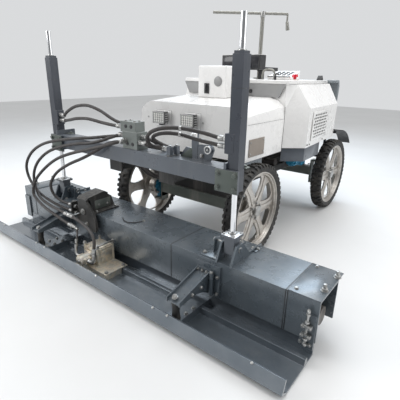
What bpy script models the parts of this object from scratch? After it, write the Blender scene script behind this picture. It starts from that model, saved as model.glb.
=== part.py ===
"""Four-wheel ride-on power screed with a 2.5 m vibrating head.

Metres. X runs across the machine, the screed head lies at -Y and +Z is up. The origin is on the
ground, under the middle of the machine.
"""

import math

import bmesh
import bpy
from mathutils import Matrix, Vector

GAP = 0.0003  # clearance between neighbouring pieces

# Wheels and axles
WHEEL_R = 0.33
RIM_R = 0.275
TYRE_W = 0.10
FRONT_AXLE_Y = -0.335
REAR_AXLE_Y = 1.015
FRONT_FACE_X = 0.56
REAR_FACE_X = 0.60
KINGPIN_INSET = 0.16  # from the wheel's outer face in to its kingpin
YOKE_HALF = 0.10

# Chassis and bodywork
RAIL_X = 0.26
RAIL_W = 0.06
RAIL_Z0 = 0.42
RAIL_Z1 = 0.48
FRAME_FRONT = -0.36
FRAME_BACK = 1.20
SKIN = 0.006
COWL_X = 0.478
COWL_FRONT = -0.438
COWL_BACK = 0.085
COWL_Z0 = 0.675
COWL_CREASE = 0.916
COWL_TOP = 1.02  # at its front edge
COWL_RISE = 0.08  # slope of its top towards the rear
BODY_Z0 = 0.70
BODY_CREASE = 0.99
BODY_TOP = 1.155
DECK_Z = 1.183
BODY_BACK = 1.14
LIGHT_X = (-0.235, 0.035)

# Masts and crossbeam
MAST_X = 0.756
MAST_Y = -0.985
MAST_SIDE = 0.058
MAST_Z0 = 0.70
MAST_Z1 = 1.30
CROSS_Y0 = -1.015
CROSS_Y1 = -0.915
CROSS_Z0 = 0.70
CROSS_Z1 = 0.79
ROD_R = 0.014
ROD_TOP = 1.463
FOOT_Z = 0.44
PIVOT_Z = 0.375

# Screed head
HEAD_X = 1.26
JOINT_X = 0.396
HEAD_Y0 = -1.055
HEAD_Y1 = -0.745
HEAD_Z0 = 0.092
HEAD_Z1 = 0.306
HEAD_WALL = 0.008
AUGER_Y = -0.90
AUGER_Z = 0.135
AUGER_R = 0.085
AUGER_PITCH = 0.16
AUGER_SHAFT_R = 0.021
BEARING_X = 1.105
END_Y1 = -0.82  # the housing is narrower beyond its bearing wall

# Vibrating plate
PLATE_X = 1.25
PLATE_T = 0.010
PLATE_FRONT = -1.345
PLATE_BACK = -1.024
ARM_X = 0.645
ARM_HALF = 0.045
ARM_TIP_Z = 0.160
RIB_X = 0.615
RIB_TOP = 0.052
DAMPER_X = 0.638
DAMPER_Y = -1.283

# Exciter
EXCITER_X0 = -0.235
EXCITER_X1 = -0.092
EXCITER_Y0 = -1.205
EXCITER_Y1 = -1.080
EXCITER_TOP = 0.155
RIDGE_TOP = 0.042
MOTOR_X = -0.165
MOTOR_Z = 0.095

# Hoses and their fittings
HOSE_R = 0.010
HOSE_STEP = 0.060
PORT_Z = (0.927, 0.892)  # heights of the two ports on each mast
PORT_Y = -0.990
PORT_OUT = 0.022
PORT_X = MAST_X - MAST_SIDE / 2 - PORT_OUT - GAP
ELBOW_HALF = 0.0125
ELBOW_Z = CROSS_Z1 + 0.036
RETURNS = ((0.335, -0.992), (0.345, -0.948))  # (x, y) of the crossbeam elbows that take the mast hoses
BRACKET_X = -0.512  # outer face of the head's hose bulkhead
BULKHEAD_X = BRACKET_X - GAP
MANIFOLD_X0 = -0.03
MANIFOLD_X = MANIFOLD_X0 - GAP

DARK_PAINT = ("dark_paint", (0.075, 0.09, 0.105), 0.45, 0.2)
MAST_PAINT = ("mast_paint", (0.035, 0.042, 0.055), 0.4, 0.2)
WHITE_PAINT = ("white_paint", (0.80, 0.81, 0.80), 0.35, 0.0)
GREY_PAINT = ("grey_paint", (0.22, 0.23, 0.23), 0.5, 0.0)
BEIGE = ("beige", (0.42, 0.38, 0.31), 0.6, 0.0)
ZINC = ("yellow_zinc", (0.50, 0.42, 0.26), 0.4, 0.7)
CHROME = ("chrome", (0.75, 0.76, 0.78), 0.12, 1.0)
ALLOY = ("cast_alloy", (0.52, 0.50, 0.47), 0.4, 0.8)
RUBBER = ("rubber", (0.02, 0.02, 0.02), 0.8, 0.0)
STEEL = ("bare_steel", (0.30, 0.29, 0.28), 0.45, 0.9)
BLUE = ("motor_blue", (0.02, 0.20, 0.34), 0.4, 0.1)
RED = ("red_plastic", (0.60, 0.02, 0.02), 0.35, 0.0)
BLACK = ("black_plastic", (0.02, 0.02, 0.022), 0.5, 0.0)


def clear_scene():
    for obj in list(bpy.data.objects):
        bpy.data.objects.remove(obj, do_unlink=True)


def material(spec):
    name, colour, roughness, metallic = spec
    found = bpy.data.materials.get(name)
    if found:
        return found
    made = bpy.data.materials.new(name)
    made.use_nodes = True
    shader = made.node_tree.nodes["Principled BSDF"]
    shader.inputs["Base Color"].default_value = (*colour, 1)
    shader.inputs["Roughness"].default_value = roughness
    shader.inputs["Metallic"].default_value = metallic
    return made


# Shape helpers: each returns an unnamed object whose mesh is in world metres.


def from_bmesh(bm):
    bmesh.ops.recalc_face_normals(bm, faces=bm.faces)
    mesh = bpy.data.meshes.new("shape")
    bm.to_mesh(mesh)
    bm.free()
    obj = bpy.data.objects.new("shape", mesh)
    bpy.context.scene.collection.objects.link(obj)
    return obj


def slab(x0, x1, y0, y1, z0, z1):
    bm = bmesh.new()
    bmesh.ops.create_cube(bm, size=1)
    low = Vector((min(x0, x1), min(y0, y1), min(z0, z1)))
    high = Vector((max(x0, x1), max(y0, y1), max(z0, z1)))
    for vert in bm.verts:
        for axis in range(3):
            vert.co[axis] = high[axis] if vert.co[axis] > 0 else low[axis]
    return from_bmesh(bm)


def rod(start, end, radius, sides=20, end_radius=None):
    start = Vector(start)
    end = Vector(end)
    along = end - start
    bm = bmesh.new()
    turn = along.to_track_quat("Z", "Y").to_matrix().to_4x4()
    place = Matrix.Translation((start + end) / 2) @ turn
    bmesh.ops.create_cone(
        bm,
        cap_ends=True,
        segments=sides,
        radius1=radius,
        radius2=radius if end_radius is None else end_radius,
        depth=along.length,
        matrix=place,
    )
    return from_bmesh(bm)


def prism(outline, axis, low, high):
    """An outline in the two axes other than `axis`, in XYZ order, extruded from low to high."""
    bm = bmesh.new()
    verts = []
    for point in outline:
        place = list(point)
        place.insert(axis, low)
        verts.append(bm.verts.new(place))
    face = bm.faces.new(verts)
    grown = bmesh.ops.extrude_face_region(bm, geom=[face])
    step = Vector((0, 0, 0))
    step[axis] = high - low
    tops = [item for item in grown["geom"] if isinstance(item, bmesh.types.BMVert)]
    bmesh.ops.translate(bm, verts=tops, vec=step)
    return from_bmesh(bm)


def loft(rings):
    """Closed skin through rings of equal point count."""
    bm = bmesh.new()
    loops = [[bm.verts.new(point) for point in ring] for ring in rings]
    count = len(loops[0])
    for lower, upper in zip(loops, loops[1:]):
        for i in range(count):
            j = (i + 1) % count
            bm.faces.new((lower[i], lower[j], upper[j], upper[i]))
    bm.faces.new(loops[0])
    bm.faces.new(loops[-1])
    bmesh.ops.triangulate(bm, faces=bm.faces)
    return from_bmesh(bm)


def turned(profile, centre, steps):
    """A closed (x, radius) outline spun about the X axis through `centre`."""
    bm = bmesh.new()
    verts = [bm.verts.new((x, 0, radius)) for x, radius in profile]
    edges = [bm.edges.new((a, b)) for a, b in zip(verts, verts[1:] + verts[:1])]
    bmesh.ops.spin(
        bm,
        geom=verts + edges,
        cent=(0, 0, 0),
        axis=(1, 0, 0),
        angle=math.tau,
        steps=steps,
        use_merge=True,
    )
    bmesh.ops.remove_doubles(bm, verts=bm.verts, dist=1e-6)
    bmesh.ops.translate(bm, verts=bm.verts, vec=centre)
    return from_bmesh(bm)


def combined(base, others, operation):
    """base joined with, or cut by, each of the others, which are used up."""
    for other in others:
        step = base.modifiers.new("Boolean", "BOOLEAN")
        step.operation = operation
        step.solver = "EXACT"
        step.object = other
    bpy.context.view_layer.update()
    graph = bpy.context.evaluated_depsgraph_get()
    mesh = bpy.data.meshes.new_from_object(base.evaluated_get(graph))
    base.modifiers.clear()
    base.data = mesh
    for other in others:
        bpy.data.objects.remove(other, do_unlink=True)
    return base


def join(base, *others):
    return combined(base, others, "UNION")


def cut(base, *others):
    return combined(base, others, "DIFFERENCE")


def joint_empty(name, place, parent=None):
    empty = bpy.data.objects.new(name, None)
    empty.empty_display_size = 0.1
    empty.location = Vector(place)
    if parent:
        empty.location -= parent.matrix_world.translation
        empty.parent = parent
    bpy.context.scene.collection.objects.link(empty)
    bpy.context.view_layer.update()
    return empty


def piece(name, obj, look, parent=None, bevel=0.0, origin=None):
    """Names a shape as a sub-part, with its origin on its parent's joint axis or at its own middle."""
    obj.name = name
    obj.data.name = name
    if origin is None and parent is not None:
        origin = parent.matrix_world.translation
    if origin is None:
        corners = [Vector(corner) for corner in obj.bound_box]
        origin = sum(corners, Vector()) / len(corners)
    origin = Vector(origin)
    obj.data.transform(Matrix.Translation(-origin))
    obj.location = origin
    if parent is not None:
        obj.parent = parent
        obj.location = origin - parent.matrix_world.translation
    obj.data.materials.clear()
    obj.data.materials.append(material(look))
    obj.data.shade_smooth()
    obj.data.set_sharp_from_angle(angle=math.radians(35))
    if bevel:
        edge = obj.modifiers.new("Edges", "BEVEL")
        edge.width = bevel
        edge.segments = 1
        edge.limit_method = "ANGLE"
        edge.angle_limit = math.radians(40)
    return obj


# Chassis


def chassis_frame():
    rails = [slab(s * (RAIL_X - RAIL_W / 2), s * (RAIL_X + RAIL_W / 2), FRAME_FRONT, FRAME_BACK,
                  RAIL_Z0, RAIL_Z1) for s in (-1, 1)]
    crosses = [slab(-RAIL_X, RAIL_X, y - 0.03, y + 0.03, RAIL_Z0 + 0.004, RAIL_Z1 - 0.004)
               for y in (FRAME_FRONT + 0.035, 0.16, 0.62, FRAME_BACK - 0.035)]
    # Two arms reach forward under the cowl to the flanges that hold the crossbeam.
    arm_z0 = COWL_Z0 - 0.075
    arm_z1 = COWL_Z0 - 0.010
    arms = [slab(s * 0.20, s * 0.26, CROSS_Y1 + 0.006, FRAME_FRONT + 0.05, arm_z0, arm_z1) for s in (-1, 1)]
    uprights = [slab(s * 0.196, s * 0.264, FRAME_FRONT, FRAME_FRONT + 0.07, RAIL_Z0 + 0.02, arm_z1 + 0.003)
                for s in (-1, 1)]
    braces = [prism([(CROSS_Y1 + 0.12, arm_z0 + 0.02), (CROSS_Y1 + 0.20, arm_z0 + 0.02),
                     (FRAME_FRONT + 0.03, 0.50), (FRAME_FRONT + 0.03, 0.44)], 0, s * 0.215, s * 0.245)
              for s in (-1, 1)]
    flanges = [slab(s * 0.17, s * 0.29, CROSS_Y1 + GAP, CROSS_Y1 + 0.012, arm_z0 - 0.005, CROSS_Z1 - 0.003)
               for s in (-1, 1)]
    gussets = [prism([(CROSS_Y1 + 0.010, arm_z1 - 0.004), (CROSS_Y1 + 0.010, CROSS_Z1 - 0.01),
                      (CROSS_Y1 + 0.10, arm_z1 - 0.004)], 0, s * 0.225, s * 0.235) for s in (-1, 1)]
    mounts = [slab(-0.30, 0.30, y - 0.02, y + 0.02, 0.375, RAIL_Z0 + 0.01)
              for y in (FRONT_AXLE_Y, REAR_AXLE_Y)]
    frame = join(rails[0], rails[1], *crosses, *uprights, *arms, *braces, *flanges, *gussets,
                 *mounts)
    piece("chassis_frame", frame, DARK_PAINT)


def axle(name, y, face_x):
    """A cross tube with a C-shaped yoke at each end that carries a kingpin."""
    pin_x = face_x - KINGPIN_INSET
    z = WHEEL_R
    beam = slab(-(pin_x - 0.06), pin_x - 0.06, y - 0.035, y + 0.035, z - 0.04, 0.375 - GAP)
    shapes = []
    holes = []
    for s in (-1, 1):
        shapes.append(slab(s * (pin_x - 0.065), s * (pin_x - 0.053), y - 0.04, y + 0.04,
                           z - YOKE_HALF - 0.015, z + YOKE_HALF + 0.015))
        for low in (z - YOKE_HALF - 0.015, z + YOKE_HALF):
            shapes.append(slab(s * (pin_x - 0.06), s * (pin_x + 0.03), y - 0.03, y + 0.03,
                               low, low + 0.015))
        holes.append(rod((s * pin_x, y, z - 0.2), (s * pin_x, y, z + 0.2), 0.0125, 16))
    piece(name, cut(join(beam, *shapes), *holes), DARK_PAINT)


def wheel(tag, side, y, face_x):
    """Knuckle with its hub motor, cast rim and tyre of one wheel."""
    pin_x = side * (face_x - KINGPIN_INSET)
    centre = Vector((0, y, WHEEL_R))
    steer = joint_empty("steer_" + tag, (pin_x, y, WHEEL_R))
    outer = side * face_x
    hub_x = outer - side * 0.105
    motor = rod((pin_x - side * 0.015, y, WHEEL_R), (hub_x, y, WHEEL_R), 0.075, 24)
    post = rod((pin_x, y, WHEEL_R - YOKE_HALF + GAP), (pin_x, y, WHEEL_R + YOKE_HALF - GAP), 0.022, 16)
    pin = rod((pin_x, y, WHEEL_R - YOKE_HALF - 0.02), (pin_x, y, WHEEL_R + YOKE_HALF + 0.02), 0.012, 16)
    piece("knuckle_" + tag, join(motor, post, pin), BLUE, steer)

    spin = joint_empty("axle_" + tag, (hub_x, y, WHEEL_R), steer)
    barrel = [(outer - side * 0.012, RIM_R), (outer - side * 0.088, RIM_R),
              (outer - side * 0.088, RIM_R - 0.02), (outer - side * 0.070, RIM_R - 0.026),
              (outer - side * 0.030, RIM_R - 0.026), (outer - side * 0.012, RIM_R - 0.02)]
    rim = turned(barrel, centre, 40)
    boss = rod((hub_x + side * GAP, y, WHEEL_R), (outer - side * 0.02, y, WHEEL_R), 0.055, 24)
    spokes = []
    for i in range(6):
        spoke = prism([(-0.030, 0.03), (0.030, 0.03), (0.021, RIM_R - 0.018), (-0.021, RIM_R - 0.018)],
                      0, outer - side * 0.055, outer - side * 0.030)
        spoke.data.transform(Matrix.Rotation(i * math.tau / 6, 4, "X"))
        spoke.data.transform(Matrix.Translation(centre))
        spokes.append(spoke)
    piece("rim_" + tag, join(rim, boss, *spokes), ALLOY, spin)

    bead = RIM_R + GAP
    half = TYRE_W / 2
    middle = outer - side * half
    profile = [(middle + x * side, radius) for x, radius in (
        (-half + 0.008, bead), (-half, bead + 0.016), (-half + 0.006, WHEEL_R - 0.012),
        (-half + 0.022, WHEEL_R), (half - 0.022, WHEEL_R), (half - 0.006, WHEEL_R - 0.012),
        (half, bead + 0.016), (half - 0.008, bead))]
    piece("tyre_" + tag, turned(profile, centre, 40), RUBBER, spin)


# Bodywork


def cowl_outline(inset):
    """The cowl's section across the machine, (x, z), from its right foot round to the left one."""
    right = [(COWL_X - 0.004, COWL_Z0), (COWL_X, COWL_CREASE), (COWL_X - 0.012, COWL_CREASE + 0.045),
             (COWL_X - 0.060, COWL_TOP - 0.018), (COWL_X - 0.120, COWL_TOP)]
    outline = [(x - inset, z - inset * (z > COWL_CREASE)) for x, z in right]
    return outline + [(-x, z) for x, z in reversed(outline)]


def raised(obj):
    """The shape with everything above the side crease sheared upwards towards the rear."""
    for vert in obj.data.vertices:
        if vert.co.z > COWL_CREASE + 0.02:
            vert.co.z += (vert.co.y - COWL_FRONT) * COWL_RISE
    return obj


def front_cowl():
    skin = raised(prism(cowl_outline(0), 1, COWL_FRONT, COWL_BACK - GAP))
    hollow = raised(prism([(x, z - 0.02 * (z <= COWL_Z0)) for x, z in cowl_outline(SKIN)], 1,
                          COWL_FRONT + SKIN, COWL_BACK + 0.05))
    lamps = [slab(x - 0.075, x + 0.075, COWL_FRONT - 0.01, COWL_FRONT + 0.003, 0.840, 0.960)
             for x in LIGHT_X]
    piece("front_cowl", cut(skin, hollow, *lamps), WHITE_PAINT)


def rear_ring(z, corner_x, front_x, back_x, tail_x, inset, front_in=0.0):
    """Plan outline of the rear body at one height, narrowed by inset."""
    right = [(front_x - inset, COWL_BACK + inset + front_in), (corner_x - inset, 0.205 + inset + front_in),
             (back_x - inset, 0.955), (tail_x - inset, BODY_BACK - inset)]
    points = right + [(-x, y) for x, y in reversed(right)]
    return [(x, y, z) for x, y in points]


def rear_body():
    outer = loft([rear_ring(BODY_Z0, 0.615, COWL_X, 0.56, 0.42, 0),
                  rear_ring(BODY_CREASE, 0.62, COWL_X, 0.565, 0.43, 0),
                  rear_ring(BODY_TOP, 0.50, 0.46, 0.47, 0.36, 0, 0.01)])
    inner = loft([rear_ring(BODY_Z0 - 0.01, 0.615, COWL_X, 0.56, 0.42, SKIN),
                  rear_ring(BODY_CREASE - SKIN, 0.62, COWL_X, 0.565, 0.43, SKIN),
                  rear_ring(BODY_TOP - SKIN, 0.50, 0.46, 0.47, 0.36, SKIN, 0.01)])
    doorway = slab(-COWL_X + 0.03, COWL_X - 0.03, COWL_BACK - 0.02, COWL_BACK + 0.02, BODY_Z0 - 0.02, 1.0)
    vents = [slab(s * 0.50, s * 0.70, 0.30, 0.66, 0.755, 0.948) for s in (-1, 1)]
    piece("rear_body", cut(outer, inner, doorway, *vents), WHITE_PAINT)


def deck():
    """The white lid of the rear body, whose lip stands out over the trim band."""
    right = [(0.47, 0.075), (0.49, 0.10), (0.47, 0.90), (0.40, 1.06)]
    lid = prism(right + [(-x, y) for x, y in reversed(right)], 2, BODY_TOP + GAP, DECK_Z)
    piece("deck_lid", lid, WHITE_PAINT, bevel=0.003)


def trim_band():
    """A grey fascia across the front of the rear body, with slanted ends."""
    low = COWL_TOP + (COWL_BACK - COWL_FRONT) * COWL_RISE + GAP
    outline = [(-0.42, low), (0.42, low), (0.47, BODY_TOP), (-0.47, BODY_TOP)]
    piece("trim_band", prism(outline, 1, COWL_BACK - 0.012, COWL_BACK - GAP), GREY_PAINT)


def console():
    top = DECK_Z + GAP
    cowl_z = COWL_TOP + (0.065 - COWL_FRONT) * COWL_RISE + GAP
    skew = 0.19 * COWL_RISE
    box = prism([(-0.125, cowl_z - skew), (0.065, cowl_z), (0.065, 1.275), (-0.125, 1.275)], 0, -0.17, 0.09)
    piece("console", box, WHITE_PAINT, bevel=0.006)
    panel = prism([(0.36, top), (0.54, top), (0.54, top + 0.070), (0.36, top + 0.025)], 0, 0.165, 0.365)
    piece("control_panel", panel, WHITE_PAINT, bevel=0.004)
    stand = slab(-0.11, -0.05, 0.32, 0.38, top, 1.27)
    body = slab(-0.25, 0.12, 0.30, 0.40, 1.255, 1.370)
    piece("display_box", join(body, stand), BLACK)
    rest = slab(0.035, 0.075, 0.43, 0.47, top, 1.255)
    pad = slab(0.025, 0.085, 0.42, 0.70, 1.25, 1.28)
    piece("armrest", join(rest, pad), BLACK)
    pole = rod((-0.03, 0.56, top), (-0.03, 0.56, 1.72), 0.016, 14)
    foot = rod((-0.03, 0.56, top), (-0.03, 0.56, top + 0.012), 0.045, 20)
    turn = math.radians(40)
    reach = Vector((math.cos(turn), math.sin(turn), 0))
    head = Vector((-0.03, 0.56, 1.705))
    bar = rod(head - reach * 0.42, head + reach * 0.21, 0.012, 12)
    piece("cable_mast", join(pole, foot, bar), STEEL)


def controls():
    top = DECK_Z + GAP
    press = joint_empty("e_stop_axis", (0.43, 0.30, top + 0.03))
    stem = rod((0.43, 0.30, top + 0.006), (0.43, 0.30, top + 0.03), 0.012, 16)
    cap = rod((0.43, 0.30, top + 0.022), (0.43, 0.30, top + 0.042), 0.024, 24, 0.020)
    piece("e_stop_button", join(stem, cap), RED, press)
    tilt = joint_empty("drive_lever_axis", (0.02, 0.24, top + 0.012))
    ball = rod((0.008, 0.24, top + 0.012), (0.032, 0.24, top + 0.012), 0.010, 16)
    stick = rod((0.02, 0.24, top + 0.012), (0.02, 0.24, top + 0.085), 0.006, 12)
    knob = rod((0.02, 0.24, top + 0.075), (0.02, 0.24, top + 0.115), 0.015, 16, 0.011)
    piece("drive_lever", join(ball, stick, knob), BLACK, tilt)


def tail():
    """Dark cover across the back of the rear body, and a mudguard over each rear wheel."""
    inner_y = BODY_BACK + 0.003
    lap_z = BODY_TOP + 0.0035
    outline = [(inner_y, 0.84), (1.165, 0.84), (1.175, 1.0), (1.185, 1.13), (1.16, 1.185), (1.075, 1.185),
               (1.075, lap_z), (inner_y, lap_z)]
    piece("tail_cover", prism(outline, 0, -0.49, 0.49), GREY_PAINT)
    for tag, s in (("left", -1), ("right", 1)):
        outer_arc = []
        inner_arc = []
        for i in range(9):
            angle = math.radians(83.5 - 5.5 * i)
            for radius, arc in ((0.42, outer_arc), (0.413, inner_arc)):
                arc.append((REAR_AXLE_Y + radius * math.cos(angle), WHEEL_R + radius * math.sin(angle)))
        guard = prism(outer_arc + inner_arc[::-1], 0, s * 0.505, s * 0.615)
        stay = slab(s * 0.29 + s * GAP, s * 0.43, 1.165, 1.185, 0.44, 0.465)
        post = slab(s * 0.41, s * 0.43, 1.165, 1.185, 0.44, 0.720)
        arm = slab(s * 0.41, s * 0.52, 1.165, 1.185, 0.695, 0.720)
        piece("mudguard_" + tag, join(guard, stay, post, arm), BLACK)


def inside():
    """What the bodywork hides: the engine with its pump, and the oil tank."""
    block = slab(-0.19, 0.19, 0.34, 0.80, RAIL_Z1 + 0.02, 0.90)
    feet = [slab(s * 0.17, s * 0.285, y - 0.03, y + 0.03, RAIL_Z1 + GAP, RAIL_Z1 + 0.05)
            for s in (-1, 1) for y in (0.40, 0.74)]
    head = slab(-0.13, 0.13, 0.42, 0.72, 0.89, 1.05)
    pump = [rod((0, 0.20, 0.66), (0, 0.35, 0.66), 0.06, 20), slab(-0.05, 0.05, 0.17, 0.24, 0.60, 0.72)]
    piece("engine_with_pump", join(block, head, *feet, *pump), STEEL)
    tank = slab(-0.36, 0.36, -0.27, 0.02, RAIL_Z1 + GAP, 0.93)
    piece("oil_tank", tank, DARK_PAINT, bevel=0.01)


def side_hatch():
    plate = slab(COWL_X - 0.001, COWL_X + 0.003, -0.40, -0.20, 0.705, 0.82)
    piece("side_hatch", plate, BEIGE)


def work_light(name, x):
    y = COWL_FRONT + 0.003 - GAP
    shell = slab(x - 0.058, x + 0.058, y - 0.062, y - 0.022, 0.868, 0.952)
    foot = slab(x - 0.012, x + 0.012, y - 0.05, y, 0.855, 0.885)
    back = slab(x - 0.03, x + 0.03, y - 0.03, y, 0.885, 0.935)
    piece(name, join(shell, foot, back), BLACK)


# Crossbeam, masts and lift


def crossbeam():
    """Main tube with its end plates and clamps, two hose elbows, a hose stay and a cable pulley."""
    reach = MAST_X - MAST_SIDE / 2 - GAP
    front = CROSS_Y0 - 0.012
    outer = slab(-reach, reach, CROSS_Y0, CROSS_Y1, CROSS_Z0, CROSS_Z1)
    ends = [slab(s * (reach - 0.014), s * reach, front, CROSS_Y1 + 0.03, CROSS_Z0 - 0.02, CROSS_Z1 + 0.03)
            for s in (-1, 1)]
    clamps = [slab(s * 0.665, s * 0.795, front, CROSS_Y0 + 0.0007, CROSS_Z0 - 0.024, CROSS_Z1)
              for s in (-1, 1)]
    foot = CROSS_Z1 - 0.004
    elbows = [slab(x - ELBOW_HALF, x + ELBOW_HALF, y - ELBOW_HALF, y + ELBOW_HALF, foot, ELBOW_Z + 0.016)
              for x, y in RETURNS]
    stay_y = (-0.945, -0.937)
    post = slab(0.450, 0.490, -0.947, -0.935, foot, 0.925)
    ramp = [(0.372, foot), (0.372, 0.800), (0.410, 0.846), (0.455, 0.840), (0.455, foot)]
    gusset = prism(ramp, 1, *stay_y)
    tongue = [(0.485, foot), (0.485, 0.868), (0.575, 0.875), (0.595, 0.850), (0.572, foot)]
    pulley_plate = prism(tongue, 1, *stay_y)
    pulley = rod((0.568, -0.962, 0.852), (0.568, -0.930, 0.852), 0.020, 16)
    whole = join(outer, *ends, *clamps, *elbows, post, gusset, pulley_plate, pulley)
    piece("crossbeam", whole, DARK_PAINT)


def mast(tag, s):
    """Square guide tube with its top collar, side port block and bore for the lift rod."""
    half = MAST_SIDE / 2
    x = s * MAST_X
    tube = slab(x - half, x + half, MAST_Y - half, MAST_Y + half, MAST_Z0 - 0.02, MAST_Z1)
    collar = slab(x - half + 0.004, x + half - 0.004, MAST_Y - half + 0.004, MAST_Y + half - 0.004,
                  MAST_Z1 - 0.004, MAST_Z1 + 0.012)
    port_low = PORT_Z[1] - 0.030
    port_high = PORT_Z[0] + 0.030
    port = slab(x - s * (half + PORT_OUT), x, MAST_Y - 0.030, MAST_Y + 0.022, port_low, port_high)
    bore = rod((x, MAST_Y, 0.5), (x, MAST_Y, 1.6), ROD_R + 0.0006, 24)
    piece("mast_tube_" + tag, cut(join(tube, collar, port), bore), MAST_PAINT)


def lift_side(tag, s):
    x = s * MAST_X
    lift = joint_empty("lift_" + tag, (x, MAST_Y, FOOT_Z))
    shaft = rod((x, MAST_Y, FOOT_Z + 0.012 + GAP), (x, MAST_Y, ROD_TOP), ROD_R, 24)
    piece("lift_rod_" + tag, shaft, CHROME, lift)
    plate = slab(x - 0.042, x + 0.042, MAST_Y - 0.042, MAST_Y + 0.042, FOOT_Z, FOOT_Z + 0.012)
    block = slab(x - 0.030, x + 0.030, MAST_Y - 0.028, MAST_Y + 0.028, PIVOT_Z - 0.03, FOOT_Z + 0.001)
    bore = rod((x - 0.1, MAST_Y, PIVOT_Z), (x + 0.1, MAST_Y, PIVOT_Z), 0.0126, 20)
    piece("lift_foot_" + tag, cut(join(plate, block), bore), STEEL, lift)
    return lift


# Screed head


def channel(x0, x1, back=HEAD_Y1):
    outline = [(HEAD_Y0, HEAD_Z0), (HEAD_Y0, HEAD_Z1), (back, HEAD_Z1), (back, HEAD_Z0),
               (back - HEAD_WALL, HEAD_Z0), (back - HEAD_WALL, HEAD_Z1 - HEAD_WALL),
               (HEAD_Y0 + HEAD_WALL, HEAD_Z1 - HEAD_WALL), (HEAD_Y0 + HEAD_WALL, HEAD_Z0)]
    return prism(outline, 0, min(x0, x1), max(x0, x1))


def head_centre(tilt):
    shell = channel(-JOINT_X + GAP / 2, JOINT_X - GAP / 2)
    piece("head_centre", shell, DARK_PAINT, tilt)


def head_wing(tag, s, tilt):
    """Outer length of the housing with its lift lugs, plate-arm bracket and auger bearing wall."""
    shell = channel(s * (JOINT_X + GAP / 2), s * (BEARING_X + 0.012))
    end = channel(s * (BEARING_X + 0.004), s * HEAD_X, END_Y1)
    shoe = slab(s * 1.19, s * (HEAD_X - 0.004), HEAD_Y0 - 0.010, HEAD_Y0 + 0.002, 0.055, 0.235)
    bearing = slab(s * BEARING_X, s * (BEARING_X + 0.010), HEAD_Y0 + 0.004, HEAD_Y1 - 0.004, 0.115,
                   HEAD_Z1 - 0.004)
    bearing_foot = slab(s * (BEARING_X + 0.001), s * (BEARING_X + 0.009), PLATE_BACK + 0.012,
                        HEAD_Y1 - 0.003, HEAD_Z0 - 0.03, 0.118)
    lugs = []
    for side in (-1, 1):
        x = s * MAST_X + side * 0.045
        lugs.append(prism([(MAST_Y - 0.075, HEAD_Z1 - 0.003), (MAST_Y + 0.115, HEAD_Z1 - 0.003),
                           (MAST_Y + 0.030, PIVOT_Z + 0.03), (MAST_Y - 0.030, PIVOT_Z + 0.03)],
                          0, x - 0.006, x + 0.006))
    pin = rod((s * MAST_X - 0.06, MAST_Y, PIVOT_Z), (s * MAST_X + 0.06, MAST_Y, PIVOT_Z), 0.012, 20)
    bracket = slab(s * (ARM_X - 0.055), s * (ARM_X + 0.10), HEAD_Y0 - 0.012, HEAD_Y0 + 0.002, 0.105, 0.285)
    bore = rod((s * (BEARING_X - 0.05), AUGER_Y, AUGER_Z), (s * (HEAD_X + 0.05), AUGER_Y, AUGER_Z),
               AUGER_SHAFT_R + 0.0006, 24)
    shape = join(shell, bearing, bearing_foot, end, shoe, *lugs, pin, bracket)
    piece("head_wing_" + tag, cut(shape, bore), DARK_PAINT, tilt)


def strike_blade(tilt):
    """Flat blade bolted to the machine side of the housing, which strikes the concrete off."""
    outline = [(HEAD_Y1 + GAP, 0.27), (HEAD_Y1 + 0.010, 0.27), (HEAD_Y1 + 0.010, 0.035),
               (HEAD_Y1 + 0.002, 0.022), (HEAD_Y1 + GAP, 0.022)]
    piece("strike_blade", prism(outline, 0, -BEARING_X, BEARING_X), STEEL, tilt)


def auger(tilt):
    spin = joint_empty("auger_axis", (0, AUGER_Y, AUGER_Z), tilt)
    shaft = rod((-BEARING_X - 0.05, AUGER_Y, AUGER_Z), (BEARING_X + 0.014, AUGER_Y, AUGER_Z),
                AUGER_SHAFT_R, 12)
    reach = BEARING_X - 0.03
    steps_per_turn = 12
    steps = round(2 * reach / AUGER_PITCH * steps_per_turn)
    bm = bmesh.new()
    rings = []
    for i in range(steps + 1):
        x = -reach + 2 * reach * i / steps
        angle = math.tau * (i + 0.3) / steps_per_turn
        ring = []
        for radius, shift in ((0.016, -0.004), (0.016, 0.004), (AUGER_R, 0.003), (AUGER_R, -0.003)):
            ring.append(bm.verts.new((x + shift, AUGER_Y + radius * math.cos(angle),
                                      AUGER_Z + radius * math.sin(angle))))
        rings.append(ring)
    for near, far in zip(rings, rings[1:]):
        for k in range(4):
            m = (k + 1) % 4
            bm.faces.new((near[k], near[m], far[m], far[k]))
    bm.faces.new(rings[0])
    bm.faces.new(rings[-1])
    piece("auger", join(shaft, from_bmesh(bm)), STEEL, spin)
    x0 = BEARING_X + 0.010 + GAP
    case = join(rod((x0 + 0.006, AUGER_Y, AUGER_Z), (x0 + 0.115, AUGER_Y, AUGER_Z), 0.048, 20),
                slab(x0 + 0.006, x0 + 0.018, AUGER_Y - 0.06, AUGER_Y + 0.06, AUGER_Z - 0.035,
                     AUGER_Z + 0.035),
                slab(x0, x0 + 0.008, AUGER_Y - 0.06, AUGER_Y - 0.035, AUGER_Z - 0.03, AUGER_Z + 0.03),
                slab(x0, x0 + 0.008, AUGER_Y + 0.035, AUGER_Y + 0.06, AUGER_Z - 0.03, AUGER_Z + 0.03))
    piece("auger_motor", case, STEEL, tilt)


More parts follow.
